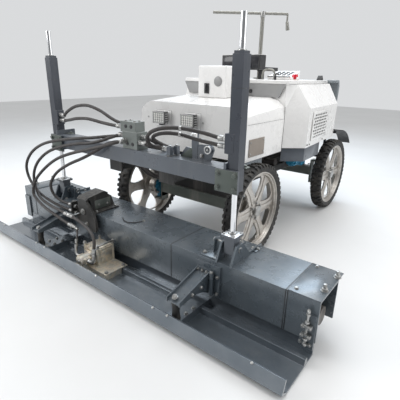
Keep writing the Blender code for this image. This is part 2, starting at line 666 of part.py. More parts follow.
def centre_bracket(tilt):
    """Folded bracket over the housing: hose bulkhead, cheeks under a hood, and a forward hanging arm."""
    foot = HEAD_Z1 + GAP
    face = HEAD_Y0 - GAP
    left = -0.500
    right = -0.290
    base = slab(left, right, face - 0.013, -0.86, foot, foot + 0.010)
    apron = slab(left, right, face - 0.013, face, 0.215, foot + 0.010)
    bulkhead = slab(BRACKET_X, left + 0.001, -1.105, face, 0.250, 0.355)
    side = [(-1.045, foot + 0.008), (-1.070, 0.406), (-1.045, 0.413), (-0.942, 0.428), (-0.887, 0.389),
            (-0.865, foot + 0.008)]
    cheeks = [prism(side, 0, x, x + 0.010) for x in (-0.437, -0.345)]
    hood = prism([(-1.098, 0.394), (-1.098, 0.402), (-1.080, 0.416), (-0.942, 0.436), (-0.915, 0.420),
                  (-0.915, 0.408), (-0.942, 0.424), (-1.078, 0.404)], 0, -0.437, -0.335)
    strap = [(-0.421, 0.405), (-0.434, 0.340), (-0.402, 0.255), (-0.335, 0.200), (-0.262, 0.190),
             (-0.244, 0.215), (-0.248, 0.262), (-0.275, 0.330), (-0.335, 0.390), (-0.337, 0.405)]
    arm = prism(strap, 1, -1.098, -1.078)
    brace = slab(-0.425, -0.300, -1.080, face - 0.010, 0.270, 0.300)
    piece("centre_bracket", join(base, apron, bulkhead, *cheeks, hood, arm, brace), DARK_PAINT, tilt)


# Vibrating plate


def vibrating_plate(float_axis):
    """Folded pan with an upturned outer lip, a ridge, an upstand at the head and two cross ribs."""
    t = PLATE_T
    ridge_y = HEAD_Y0 - 0.035
    lip = [(PLATE_FRONT + 0.040, 0), (PLATE_FRONT, 0.026), (PLATE_FRONT + 0.022, 0.090),
           (PLATE_FRONT + 0.034, 0.088), (PLATE_FRONT + 0.014, 0.030), (PLATE_FRONT + 0.046, t)]
    ridge = [(ridge_y - 0.036, t), (ridge_y - 0.030, RIDGE_TOP), (ridge_y - 0.006, RIDGE_TOP),
             (ridge_y, t)]
    upstand = [(PLATE_BACK - t, t), (PLATE_BACK - t, 0.10), (PLATE_BACK, 0.10)]
    outline = [(PLATE_BACK, 0), *lip, *ridge, *upstand]
    pan = prism(outline, 0, -PLATE_X, PLATE_X)
    ribs = [slab(s * (RIB_X - 0.05), s * (RIB_X + 0.05), PLATE_FRONT + 0.040, PLATE_BACK - 0.004,
                 t - 0.002, RIB_TOP) for s in (-1, 1)]
    piece("vibrating_plate", join(pan, *ribs), DARK_PAINT, float_axis)


def damper_arm(tag, s, tilt):
    """Channel arm that reaches from the housing's bracket out over the plate, deeper at its root."""
    x = s * ARM_X
    root = HEAD_Y0 - 0.012 - GAP
    tip = PLATE_FRONT + 0.030
    back = slab(x - ARM_HALF, x + ARM_HALF, root - 0.008, root, 0.115, 0.252)
    side = [(root - 0.004, 0.250), (tip, 0.184), (tip, ARM_TIP_Z), (-1.240, 0.166), (-1.185, 0.167),
            (-1.140, 0.156), (-1.105, 0.136), (root - 0.004, 0.118)]
    half = ARM_HALF - 0.004
    cheeks = [prism(side, 0, edge - 0.003, edge + 0.003) for edge in (x - half, x + half)]
    web = prism([(root - 0.004, 0.234), (tip + 0.004, 0.166), (tip + 0.004, ARM_TIP_Z), (-1.240, 0.167),
                 (root - 0.004, 0.226)], 0, x - half, x + half)
    post_x = x + s * (ARM_HALF + 0.013)
    post = rod((post_x, root - 0.016, 0.120), (post_x, root - 0.016, 0.247), 0.013, 16)
    ears = [slab(x, post_x, root - 0.024, root - 0.002, z, z + 0.008) for z in (0.140, 0.220)]
    piece("damper_arm_" + tag, join(back, *cheeks, web, post, *ears), DARK_PAINT, tilt)


def isolator(tag, s, float_axis):
    """Rubber bobbin between a cross rib of the plate and the tip of the arm above it."""
    x = s * DAMPER_X
    low = RIB_TOP + GAP
    high = ARM_TIP_Z - GAP
    bobbin = rod((x, DAMPER_Y, low), (x, DAMPER_Y, high), 0.020, 20)
    flanges = [rod((x, DAMPER_Y, z), (x, DAMPER_Y, z + 0.006), 0.024, 20) for z in (low, high - 0.006)]
    piece("isolator_" + tag, join(bobbin, *flanges), RUBBER, float_axis)


def exciter(float_axis):
    """Eccentric-shaft case on its base, with four corner studs, and the hydraulic motor on its front."""
    over = RIDGE_TOP + GAP
    front = EXCITER_Y0 - 0.045
    foot = slab(-0.26, 0.035, front, HEAD_Y0 - 0.035 - 0.037, PLATE_T + GAP, over + 0.004)
    base = slab(-0.26, 0.035, front, EXCITER_Y1 + 0.002, over, over + 0.008)
    box = slab(EXCITER_X0, EXCITER_X1, EXCITER_Y0, EXCITER_Y1, over + 0.006, EXCITER_TOP)
    inset = 0.004
    studs = [rod((x, y, over + 0.004), (x, y, EXCITER_TOP + 0.012), 0.008, 12)
             for x in (EXCITER_X0 + inset, EXCITER_X1 - inset)
             for y in (EXCITER_Y0 + inset, EXCITER_Y1 - inset)]
    piece("exciter_case", join(foot, base, box, *studs), ZINC, float_axis)
    face = EXCITER_Y0 - 0.005 - GAP
    body = rod((MOTOR_X, face - 0.085, MOTOR_Z), (MOTOR_X, face, MOTOR_Z), 0.034, 20)
    flange = slab(MOTOR_X - 0.038, MOTOR_X + 0.038, face - 0.012, face, MOTOR_Z - 0.040, MOTOR_Z + 0.038)
    ports = slab(MOTOR_X - 0.046, MOTOR_X + 0.046, face - 0.068, face - 0.026, MOTOR_Z - 0.014,
                 MOTOR_Z + 0.018)
    piece("exciter_motor", join(body, flange, ports), STEEL, float_axis)


# Manifold and hoses


def hose_manifold():
    block = slab(MANIFOLD_X0, 0.095, CROSS_Y0 + 0.004, CROSS_Y1 - 0.010, CROSS_Z1 + GAP, 0.890)
    cap = slab(MANIFOLD_X0 - 0.016, 0.085, CROSS_Y0 + 0.006, CROSS_Y1 - 0.020, 0.885, 0.948)
    piece("hose_manifold", join(block, cap), GREY_PAINT, bevel=0.003)


def smooth_route(points):
    """Straight end lengths, and between them points about HOSE_STEP apart on a Catmull-Rom curve."""
    points = [Vector(point) for point in points]
    fine = []
    for a, b, c, d in zip(points, points[1:], points[2:], points[3:]):
        for i in range(24):
            t = i / 24
            fine.append(0.5 * (2 * b + (c - a) * t + (2 * a - 5 * b + 4 * c - d) * t * t
                               + (3 * b - a - 3 * c + d) * t ** 3))
    fine.append(points[-2])
    total = sum((b - a).length for a, b in zip(fine, fine[1:]))
    count = max(4, round(total / HOSE_STEP))
    out = [points[0], fine[0]]
    run = 0.0
    for a, b in zip(fine, fine[1:]):
        run += (b - a).length
        if run >= total * (len(out) - 1) / count and len(out) <= count:
            out.append(b)
    return out + [fine[-1], points[-1]]


def hose(name, points):
    route = smooth_route(points)
    curve = bpy.data.curves.new(name, "CURVE")
    curve.dimensions = "3D"
    curve.bevel_depth = HOSE_R
    curve.bevel_resolution = 2
    curve.use_fill_caps = True
    spline = curve.splines.new("POLY")
    spline.points.add(len(route) - 1)
    for spot, place in zip(spline.points, route):
        spot.co = (*place, 1)
    obj = bpy.data.objects.new(name, curve)
    curve.materials.append(material(RUBBER))
    bpy.context.scene.collection.objects.link(obj)


RETURN_X = [x - ELBOW_HALF - GAP for x, y in RETURNS]
MAST_HOSES = {
    "mast_hose_upper": [(PORT_X, PORT_Y, PORT_Z[0]), (PORT_X - 0.04, PORT_Y, PORT_Z[0]),
                        (0.565, -1.015, 0.947), (0.470, -1.060, 0.961), (0.392, -1.100, 0.957),
                        (0.328, -1.118, 0.935), (0.285, -1.108, 0.900), (0.262, -1.075, 0.862),
                        (0.262, -1.030, 0.835), (RETURN_X[0] - 0.03, RETURNS[0][1], ELBOW_Z),
                        (RETURN_X[0], RETURNS[0][1], ELBOW_Z)],
    "mast_hose_lower": [(PORT_X, PORT_Y, PORT_Z[1]), (PORT_X - 0.04, PORT_Y, PORT_Z[1]),
                        (0.548, -1.005, 0.905), (0.450, -1.040, 0.926), (0.375, -1.070, 0.928),
                        (0.318, -1.084, 0.912), (0.285, -1.066, 0.890), (0.272, -1.026, 0.866),
                        (0.276, -0.980, 0.842), (RETURN_X[1] - 0.025, RETURNS[1][1], ELBOW_Z),
                        (RETURN_X[1], RETURNS[1][1], ELBOW_Z)],
}
DROP_HOSES = {
    "drop_hose_outer": [(MANIFOLD_X, -0.955, 0.852), (MANIFOLD_X - 0.04, -0.955, 0.852),
                        (-0.190, -0.985, 0.836), (-0.320, -1.020, 0.816), (-0.470, -1.055, 0.796),
                        (-0.640, -1.080, 0.766), (-0.800, -1.100, 0.722), (-0.934, -1.115, 0.650),
                        (-1.018, -1.125, 0.556), (-1.016, -1.130, 0.470), (-0.955, -1.130, 0.395),
                        (-0.860, -1.125, 0.340), (-0.745, -1.110, 0.303), (-0.635, -1.090, 0.281),
                        (BULKHEAD_X - 0.04, -1.082, 0.277), (BULKHEAD_X, -1.082, 0.277)],
    "drop_hose_inner": [(MANIFOLD_X, -0.990, 0.818), (MANIFOLD_X - 0.04, -0.990, 0.818),
                        (-0.115, -1.010, 0.812), (-0.170, -1.036, 0.790), (-0.240, -1.052, 0.747),
                        (-0.353, -1.070, 0.689), (-0.510, -1.095, 0.619), (-0.635, -1.110, 0.545),
                        (-0.703, -1.120, 0.470), (-0.714, -1.122, 0.420), (-0.690, -1.115, 0.368),
                        (-0.632, -1.098, 0.333), (BULKHEAD_X - 0.03, -1.082, 0.323),
                        (BULKHEAD_X, -1.082, 0.323)],
}


def build():
    clear_scene()
    chassis_frame()
    axle("front_axle", FRONT_AXLE_Y, FRONT_FACE_X)
    axle("rear_axle", REAR_AXLE_Y, REAR_FACE_X)
    for tag, side in (("left", -1), ("right", 1)):
        wheel("front_" + tag, side, FRONT_AXLE_Y, FRONT_FACE_X)
        wheel("rear_" + tag, side, REAR_AXLE_Y, REAR_FACE_X)
    front_cowl()
    rear_body()
    deck()
    trim_band()
    console()
    controls()
    tail()
    inside()
    side_hatch()
    work_light("work_light_left", LIGHT_X[0])
    work_light("work_light_right", LIGHT_X[1])
    crossbeam()
    hose_manifold()
    for tag, side in (("left", -1), ("right", 1)):
        mast(tag, side)
    left_lift = lift_side("left", -1)
    lift_side("right", 1)
    tilt = joint_empty("head_tilt", (0, MAST_Y, PIVOT_Z), left_lift)
    head_centre(tilt)
    strike_blade(tilt)
    auger(tilt)
    centre_bracket(tilt)
    float_axis = joint_empty("plate_float", (0, HEAD_Y0, 0), tilt)
    vibrating_plate(float_axis)
    exciter(float_axis)
    for tag, side in (("left", -1), ("right", 1)):
        head_wing(tag, side, tilt)
        damper_arm(tag, side, tilt)
        isolator(tag, side, float_axis)
    for name, points in {**MAST_HOSES, **DROP_HOSES}.items():
        hose(name, points)


build()
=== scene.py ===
"""Looks of the four-wheel power screed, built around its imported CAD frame.

Metres. X runs across the machine, the screed head lies at -Y and +Z is up.
"""

import math

import bmesh
import bpy
from mathutils import Matrix, Vector


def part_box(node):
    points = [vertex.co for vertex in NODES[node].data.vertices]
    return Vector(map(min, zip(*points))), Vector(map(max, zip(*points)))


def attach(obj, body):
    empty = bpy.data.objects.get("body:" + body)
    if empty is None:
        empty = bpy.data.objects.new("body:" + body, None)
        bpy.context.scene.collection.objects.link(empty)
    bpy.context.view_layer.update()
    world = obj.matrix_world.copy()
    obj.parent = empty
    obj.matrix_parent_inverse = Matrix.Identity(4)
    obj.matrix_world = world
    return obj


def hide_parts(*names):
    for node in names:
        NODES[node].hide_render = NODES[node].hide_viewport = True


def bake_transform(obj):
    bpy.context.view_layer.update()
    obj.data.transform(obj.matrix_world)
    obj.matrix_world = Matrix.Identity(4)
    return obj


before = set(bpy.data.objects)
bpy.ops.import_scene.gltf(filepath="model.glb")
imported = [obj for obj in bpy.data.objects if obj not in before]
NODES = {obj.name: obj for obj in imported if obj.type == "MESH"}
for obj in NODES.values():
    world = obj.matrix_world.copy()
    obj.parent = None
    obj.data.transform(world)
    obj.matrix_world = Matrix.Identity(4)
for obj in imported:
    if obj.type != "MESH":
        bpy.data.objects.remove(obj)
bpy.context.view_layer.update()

WHEELS = ("front_left", "front_right", "rear_left", "rear_right")
SIDES = ((-1, "left"), (1, "right"))
UP = (0, 0, 1)
TO_HEAD = (0, -1, 0)
OUT_RIGHT = (1, 0, 0)

YAW, PITCH, ROLL = [math.radians(angle) for angle in (37.964, 19.421, 1.128)]
CAMERA_PLACE = (1.640, -2.391, 1.213)
CAMERA_LENS_MM = 32.108
SENSOR_MM = 36
SHARP = math.radians(28)

MAST_X = 0.756
MAST_Y = -0.985
PIN_Z = 0.375
HEAD_TOP = 0.306
COWL_FACE_Y = -0.4383
DECK_Z = 1.1833
POLE_X = -0.030
POLE_Y = 0.560


# Camera


def camera():
    back = Vector((math.sin(YAW) * math.cos(PITCH), -math.cos(YAW) * math.cos(PITCH), math.sin(PITCH)))
    right = Vector((math.cos(YAW), math.sin(YAW), 0))
    up = back.cross(right)
    turned_right = right * math.cos(ROLL) + up * math.sin(ROLL)
    turned_up = up * math.cos(ROLL) - right * math.sin(ROLL)
    data = bpy.data.cameras.new("camera")
    data.lens = CAMERA_LENS_MM
    data.sensor_width = SENSOR_MM
    made = bpy.data.objects.new("camera", data)
    facing = Matrix((turned_right, turned_up, back)).transposed().to_4x4()
    made.matrix_world = Matrix.Translation(CAMERA_PLACE) @ facing
    bpy.context.scene.collection.objects.link(made)
    bpy.context.scene.camera = made


# Materials. Their textures read object coordinates, which are metres in the machine's own frame.


class Look:
    def __init__(self, name, colour, roughness, metallic=0.0):
        self.material = bpy.data.materials.new(name)
        self.material.use_nodes = True
        self.tree = self.material.node_tree
        self.shader = self.tree.nodes["Principled BSDF"]
        self.set("Base Color", (*colour, 1))
        self.set("Roughness", roughness)
        self.set("Metallic", metallic)
        self.place = self.node("ShaderNodeTexCoord").outputs["Object"]

    def feed(self, socket, value):
        if isinstance(value, bpy.types.NodeSocket):
            self.tree.links.new(value, socket)
        else:
            socket.default_value = value

    def set(self, name, value):
        self.feed(self.shader.inputs[name], value)

    def node(self, kind, settings=(), inputs=()):
        made = self.tree.nodes.new(kind)
        for key, value in dict(settings).items():
            setattr(made, key, value)
        for key, value in dict(inputs).items():
            self.feed(made.inputs[key], value)
        return made

    def stretched(self, stretch):
        return self.node("ShaderNodeMapping",
                         inputs={"Vector": self.place, "Scale": stretch}).outputs["Vector"]

    def noise(self, scale, detail=4.0, rough=0.6, stretch=None, twist=0.0):
        place = self.stretched(stretch) if stretch else self.place
        inputs = {"Vector": place, "Scale": scale, "Detail": detail, "Roughness": rough,
                  "Distortion": twist}
        return self.node("ShaderNodeTexNoise", inputs=inputs).outputs["Fac"]

    def cells(self, scale, stretch=None):
        place = self.stretched(stretch) if stretch else self.place
        return self.node("ShaderNodeTexVoronoi",
                         inputs={"Vector": place, "Scale": scale}).outputs["Distance"]

    def steps(self, value, low, high, out_low=0.0, out_high=1.0):
        settings = {"interpolation_type": "SMOOTHSTEP"}
        inputs = {"Value": value, "From Min": low, "From Max": high, "To Min": out_low, "To Max": out_high}
        return self.node("ShaderNodeMapRange", settings, inputs).outputs["Result"]

    def math(self, operation, a, b):
        return self.node("ShaderNodeMath", {"operation": operation}, {0: a, 1: b}).outputs["Value"]

    def times(self, *values):
        total = values[0]
        for value in values[1:]:
            total = self.math("MULTIPLY", total, value)
        return total

    def mixed(self, factor, a, b):
        made = self.node("ShaderNodeMix", {"data_type": "RGBA"}, {0: factor})
        for index, colour in ((6, a), (7, b)):
            self.feed(made.inputs[index], (*colour, 1) if isinstance(colour, tuple) else colour)
        return made.outputs[2]

    def facing_up(self):
        normal = self.node("ShaderNodeNewGeometry").outputs["Normal"]
        return self.node("ShaderNodeSeparateXYZ", inputs={"Vector": normal}).outputs["Z"]

    def height(self):
        return self.node("ShaderNodeSeparateXYZ", inputs={"Vector": self.place}).outputs["Z"]

    def edges(self, radius):
        """1 on sharp edges and 0 away from them."""
        soft = self.node("ShaderNodeBevel", {"samples": 4}, {"Radius": radius}).outputs["Normal"]
        true = self.node("ShaderNodeNewGeometry").outputs["Normal"]
        both = self.node("ShaderNodeVectorMath", {"operation": "DOT_PRODUCT"}, {0: soft, 1: true})
        return self.steps(both.outputs["Value"], 0.97, 0.80)

    def bump(self, height, strength, distance=0.001):
        inputs = {"Height": height, "Strength": strength, "Distance": distance}
        self.set("Normal", self.node("ShaderNodeBump", inputs=inputs).outputs["Normal"])


DUST = (0.40, 0.37, 0.33)
BARE = (0.36, 0.36, 0.36)


def paint(name, colour, roughness, metallic=0.0, dust=0.3, wear=0.6, vary=0.12, coat=0.0):
    """Sprayed paint with orange peel, settled dust, fine scratches and edges worn to the metal."""
    look = Look(name, colour, roughness, metallic)
    darker = tuple(channel * (1 - vary) for channel in colour)
    lighter = tuple(min(1, channel * (1 + vary)) for channel in colour)
    blotch = look.noise(2.6, 5, 0.62)
    tone = look.mixed(look.steps(blotch, 0.36, 0.66), darker, lighter)
    streaks = look.noise(9, 6, 0.7, (1, 1, 0.12))
    tone = look.mixed(look.times(look.steps(streaks, 0.50, 0.78), 0.9 * dust), tone, DUST)
    grain = look.noise(34, 6, 0.72)
    up = look.steps(look.facing_up(), 0.35, 0.95)
    film = look.times(up, look.steps(grain, 0.30, 0.75), dust)
    low = look.times(look.steps(look.height(), 0.55, 0.05), look.steps(blotch, 0.35, 0.70), dust)
    dusty = look.math("MAXIMUM", film, low)
    scratch = look.steps(look.noise(26, 9, 0.78, (1, 7, 1)), 0.655, 0.70)
    scratch = look.times(scratch, look.steps(look.noise(5, 2), 0.48, 0.62), 0.55 * wear)
    chipped = look.times(look.edges(0.004), look.steps(look.noise(58, 5, 0.7), 0.47, 0.60), wear)
    worn = look.math("MAXIMUM", scratch, chipped)
    look.set("Base Color", look.mixed(worn, look.mixed(dusty, tone, DUST), BARE))
    rough = look.steps(look.noise(7, 5, 0.7), 0.3, 0.7, roughness - 0.08, roughness + 0.10)
    look.set("Roughness", look.math("MAXIMUM", rough, look.times(dusty, 0.9)))
    if coat:
        look.set("Coat Weight", coat)
        look.set("Coat Roughness", 0.15)
    peel = look.math("ADD", look.noise(420, 2), look.times(worn, -0.3))
    look.bump(peel, 0.10, 0.0006)
    return look.material


def metal(name, colour, roughness, grime=0.4, grime_colour=(0.10, 0.085, 0.07), stretch=None, relief=0.15):
    """Bare or plated metal with stains, fine machining or casting grain, and dirt."""
    look = Look(name, colour, roughness, 1.0)
    fine = look.noise(140, 6, 0.7, stretch)
    tone = look.mixed(look.steps(fine, 0.3, 0.7), tuple(c * 0.78 for c in colour), colour)
    stain = look.times(look.steps(look.noise(16, 6, 0.72), 0.46, 0.72), grime)
    look.set("Base Color", look.mixed(stain, tone, grime_colour))
    look.set("Metallic", look.steps(stain, 0.1, 0.9, 1.0, 0.25))
    look.set("Roughness", look.steps(look.noise(30, 5, 0.7), 0.25, 0.75, roughness, roughness + 0.22))
    look.bump(look.math("ADD", fine, look.times(stain, 1.5)), relief, 0.0005)
    return look.material


def plated(name):
    """Yellow-passivated zinc, which runs from straw to grey-green and pink."""
    look = Look(name, (0.66, 0.60, 0.49), 0.36, 0.6)
    drift = look.noise(22, 4, 0.6, twist=1.2)
    warm = look.mixed(look.steps(drift, 0.36, 0.60), (0.60, 0.59, 0.53), (0.80, 0.71, 0.57))
    cool = look.mixed(look.steps(look.noise(48, 3), 0.52, 0.72), warm, (0.56, 0.50, 0.48))
    dirt = look.times(look.steps(look.noise(30, 7, 0.75), 0.54, 0.72), 0.6)
    look.set("Base Color", look.mixed(dirt, cool, (0.22, 0.17, 0.12)))
    look.set("Roughness", look.steps(look.noise(60, 4), 0.3, 0.7, 0.30, 0.52))
    look.bump(look.noise(260, 4, 0.7), 0.12, 0.0005)
    return look.material


def rubber(name, colour, roughness, dust=0.5, grain=200):
    look = Look(name, colour, roughness)
    film = look.times(look.steps(look.noise(18, 6, 0.72), 0.42, 0.74), dust)
    look.set("Base Color", look.mixed(film, colour, (0.16, 0.145, 0.125)))
    look.set("Roughness", look.steps(film, 0.0, 0.6, roughness, 0.93))
    look.bump(look.noise(grain, 5, 0.7), 0.25, 0.0006)
    return look.material


def braid(name):
    """Hose cover with the wrapped pattern of its fabric, laid along the hose by its stored attribute."""
    look = Look(name, (0.030, 0.027, 0.026), 0.55)
    laid = look.node("ShaderNodeAttribute", {"attribute_name": "laid"}).outputs["Vector"]
    parts = look.node("ShaderNodeSeparateXYZ", inputs={"Vector": laid})
    along = look.times(parts.outputs["X"], 520.0)
    around = look.times(parts.outputs["Y"], 10.0)
    one = look.math("SINE", look.math("ADD", along, around), 0.0)
    other = look.math("SINE", look.math("SUBTRACT", along, around), 0.0)
    weave = look.math("MAXIMUM", one, other)
    wear = look.times(look.steps(look.noise(24, 6, 0.7), 0.40, 0.70), 0.7)
    tone = look.mixed(look.steps(weave, -0.2, 0.9), (0.016, 0.015, 0.015), (0.052, 0.046, 0.044))
    look.set("Base Color", look.mixed(wear, tone, (0.070, 0.061, 0.057)))
    look.set("Roughness", look.steps(wear, 0.0, 0.7, 0.48, 0.80))
    look.bump(weave, 0.35, 0.0007)
    return look.material


def chrome(name):
    look = Look(name, (0.83, 0.84, 0.86), 0.07, 1.0)
    rings = look.noise(60, 4, 0.6, (1, 1, 14))
    look.set("Roughness", look.steps(rings, 0.35, 0.75, 0.05, 0.16))
    smear = look.times(look.steps(look.noise(11, 4), 0.50, 0.75), 0.35)
    look.set("Base Color", look.mixed(smear, (0.83, 0.84, 0.86), (0.55, 0.55, 0.55)))
    look.bump(rings, 0.02, 0.0002)
    return look.material


def plastic(name, colour, roughness, grain=0.12):
    look = Look(name, colour, roughness)
    tone = look.steps(look.noise(20, 5, 0.7), 0.42, 0.75)
    scuffed = tuple(channel + 0.05 for channel in colour)
    look.set("Base Color", look.mixed(look.times(tone, 0.5), colour, scuffed))
    look.set("Roughness", look.steps(look.noise(45, 4), 0.3, 0.7, roughness - 0.06, roughness + 0.12))
    look.bump(look.noise(900, 2), grain, 0.0004)
    return look.material


def lens(name):
    look = Look(name, (0.82, 0.84, 0.84), 0.10)
    look.set("Transmission Weight", 0.55)
    look.set("IOR", 1.49)
    facets = look.cells(85, (1, 0.2, 1))
    look.set("Base Color", look.mixed(look.steps(facets, 0.2, 0.6), (0.92, 0.93, 0.92), (0.62, 0.63, 0.60)))
    look.bump(facets, 0.45, 0.0010)
    return look.material


def ground(name):
    look = Look(name, (0.73, 0.73, 0.725), 0.75)
    tone = look.steps(look.noise(0.9, 4), 0.3, 0.7)
    look.set("Base Color", look.mixed(tone, (0.72, 0.72, 0.715), (0.75, 0.75, 0.745)))
    return look.material


LOOKS = {
    "dark": paint("dark_paint", (0.100, 0.124, 0.146), 0.28, 0.35, dust=0.12, wear=0.30, vary=0.10,
                  coat=0.5),
    "beam": paint("beam_paint", (0.094, 0.108, 0.128), 0.34, 0.2, dust=0.16, wear=0.4, vary=0.08,
                  coat=0.25),
    "pan": paint("pan_paint", (0.135, 0.164, 0.194), 0.17, 0.5, dust=0.14, wear=0.25, vary=0.12, coat=0.9),
    "mast": paint("mast_paint", (0.040, 0.047, 0.062), 0.34, 0.1, dust=0.10, wear=0.25, coat=0.2),
    "black": paint("black_paint", (0.022, 0.022, 0.022), 0.46, 0.1, dust=0.30, wear=0.6),
    "white": paint("white_paint", (0.84, 0.83, 0.815), 0.28, dust=0.03, wear=0.0, vary=0.02, coat=0.5),
    "grey": paint("grey_paint", (0.285, 0.285, 0.285), 0.46, dust=0.22, wear=0.25, vary=0.08),
    "plate_grey": paint("lamp_paint", (0.46, 0.46, 0.45), 0.38, 0.3, dust=0.2, wear=0.3),
    "manifold": paint("manifold_paint", (0.185, 0.205, 0.195), 0.36, 0.3, dust=0.3, wear=0.8),
    "tail": paint("tail_paint", (0.20, 0.225, 0.24), 0.40, dust=0.25, wear=0.25),
    "beige": paint("hatch_paint", (0.29, 0.25, 0.215), 0.6, dust=0.3, wear=0.2, vary=0.10),
    "olive": paint("olive_paint", (0.105, 0.125, 0.112), 0.42, 0.2, dust=0.4, wear=0.8),
    "blue": paint("motor_paint", (0.010, 0.22, 0.38), 0.30, 0.2, dust=0.3, wear=0.4, coat=0.4),
    "oxide": paint("machine_paint", (0.055, 0.048, 0.045), 0.55, 0.3, dust=0.5, wear=0.8, vary=0.35),
    "zinc": metal("bright_zinc", (0.50, 0.50, 0.49), 0.26, grime=0.6),
    "steel": metal("bare_steel", (0.42, 0.41, 0.40), 0.38, grime=0.7, stretch=(1, 6, 1)),
    "ground_steel": metal("ground_steel", (0.78, 0.79, 0.80), 0.20, grime=0.25, stretch=(8, 1, 1)),
    "alloy": metal("cast_alloy", (0.62, 0.59, 0.55), 0.32, grime=0.45, grime_colour=(0.23, 0.17, 0.12),
                   relief=0.22),
    "pole": metal("pole_steel", (0.34, 0.335, 0.31), 0.46, grime=0.6, stretch=(1, 1, 0.2)),
    "plated": plated("yellow_zinc"),
    "chrome": chrome("hard_chrome"),
    "tyre": rubber("tyre_rubber", (0.018, 0.018, 0.018), 0.62, dust=0.55, grain=160),
    "rubber": rubber("mount_rubber", (0.014, 0.014, 0.014), 0.55, dust=0.35),
    "hose": braid("hose_cover"),
    "plastic": plastic("black_plastic", (0.020, 0.020, 0.022), 0.42),
    "red": plastic("red_plastic", (0.62, 0.015, 0.035), 0.24, 0.03),
    "screen": plastic("screen_glass", (0.018, 0.018, 0.022), 0.10, 0.01),
    "lens": lens("lamp_lens"),
    "screen_white": plastic("lamp_reflector", (0.80, 0.79, 0.75), 0.25, 0.05),
}


# Mesh building


def axis_matrix(origin, axis):
    """Puts local +Z along axis, at origin."""
    return Matrix.Translation(origin) @ Vector(axis).to_track_quat("Z", "Y").to_matrix().to_4x4()


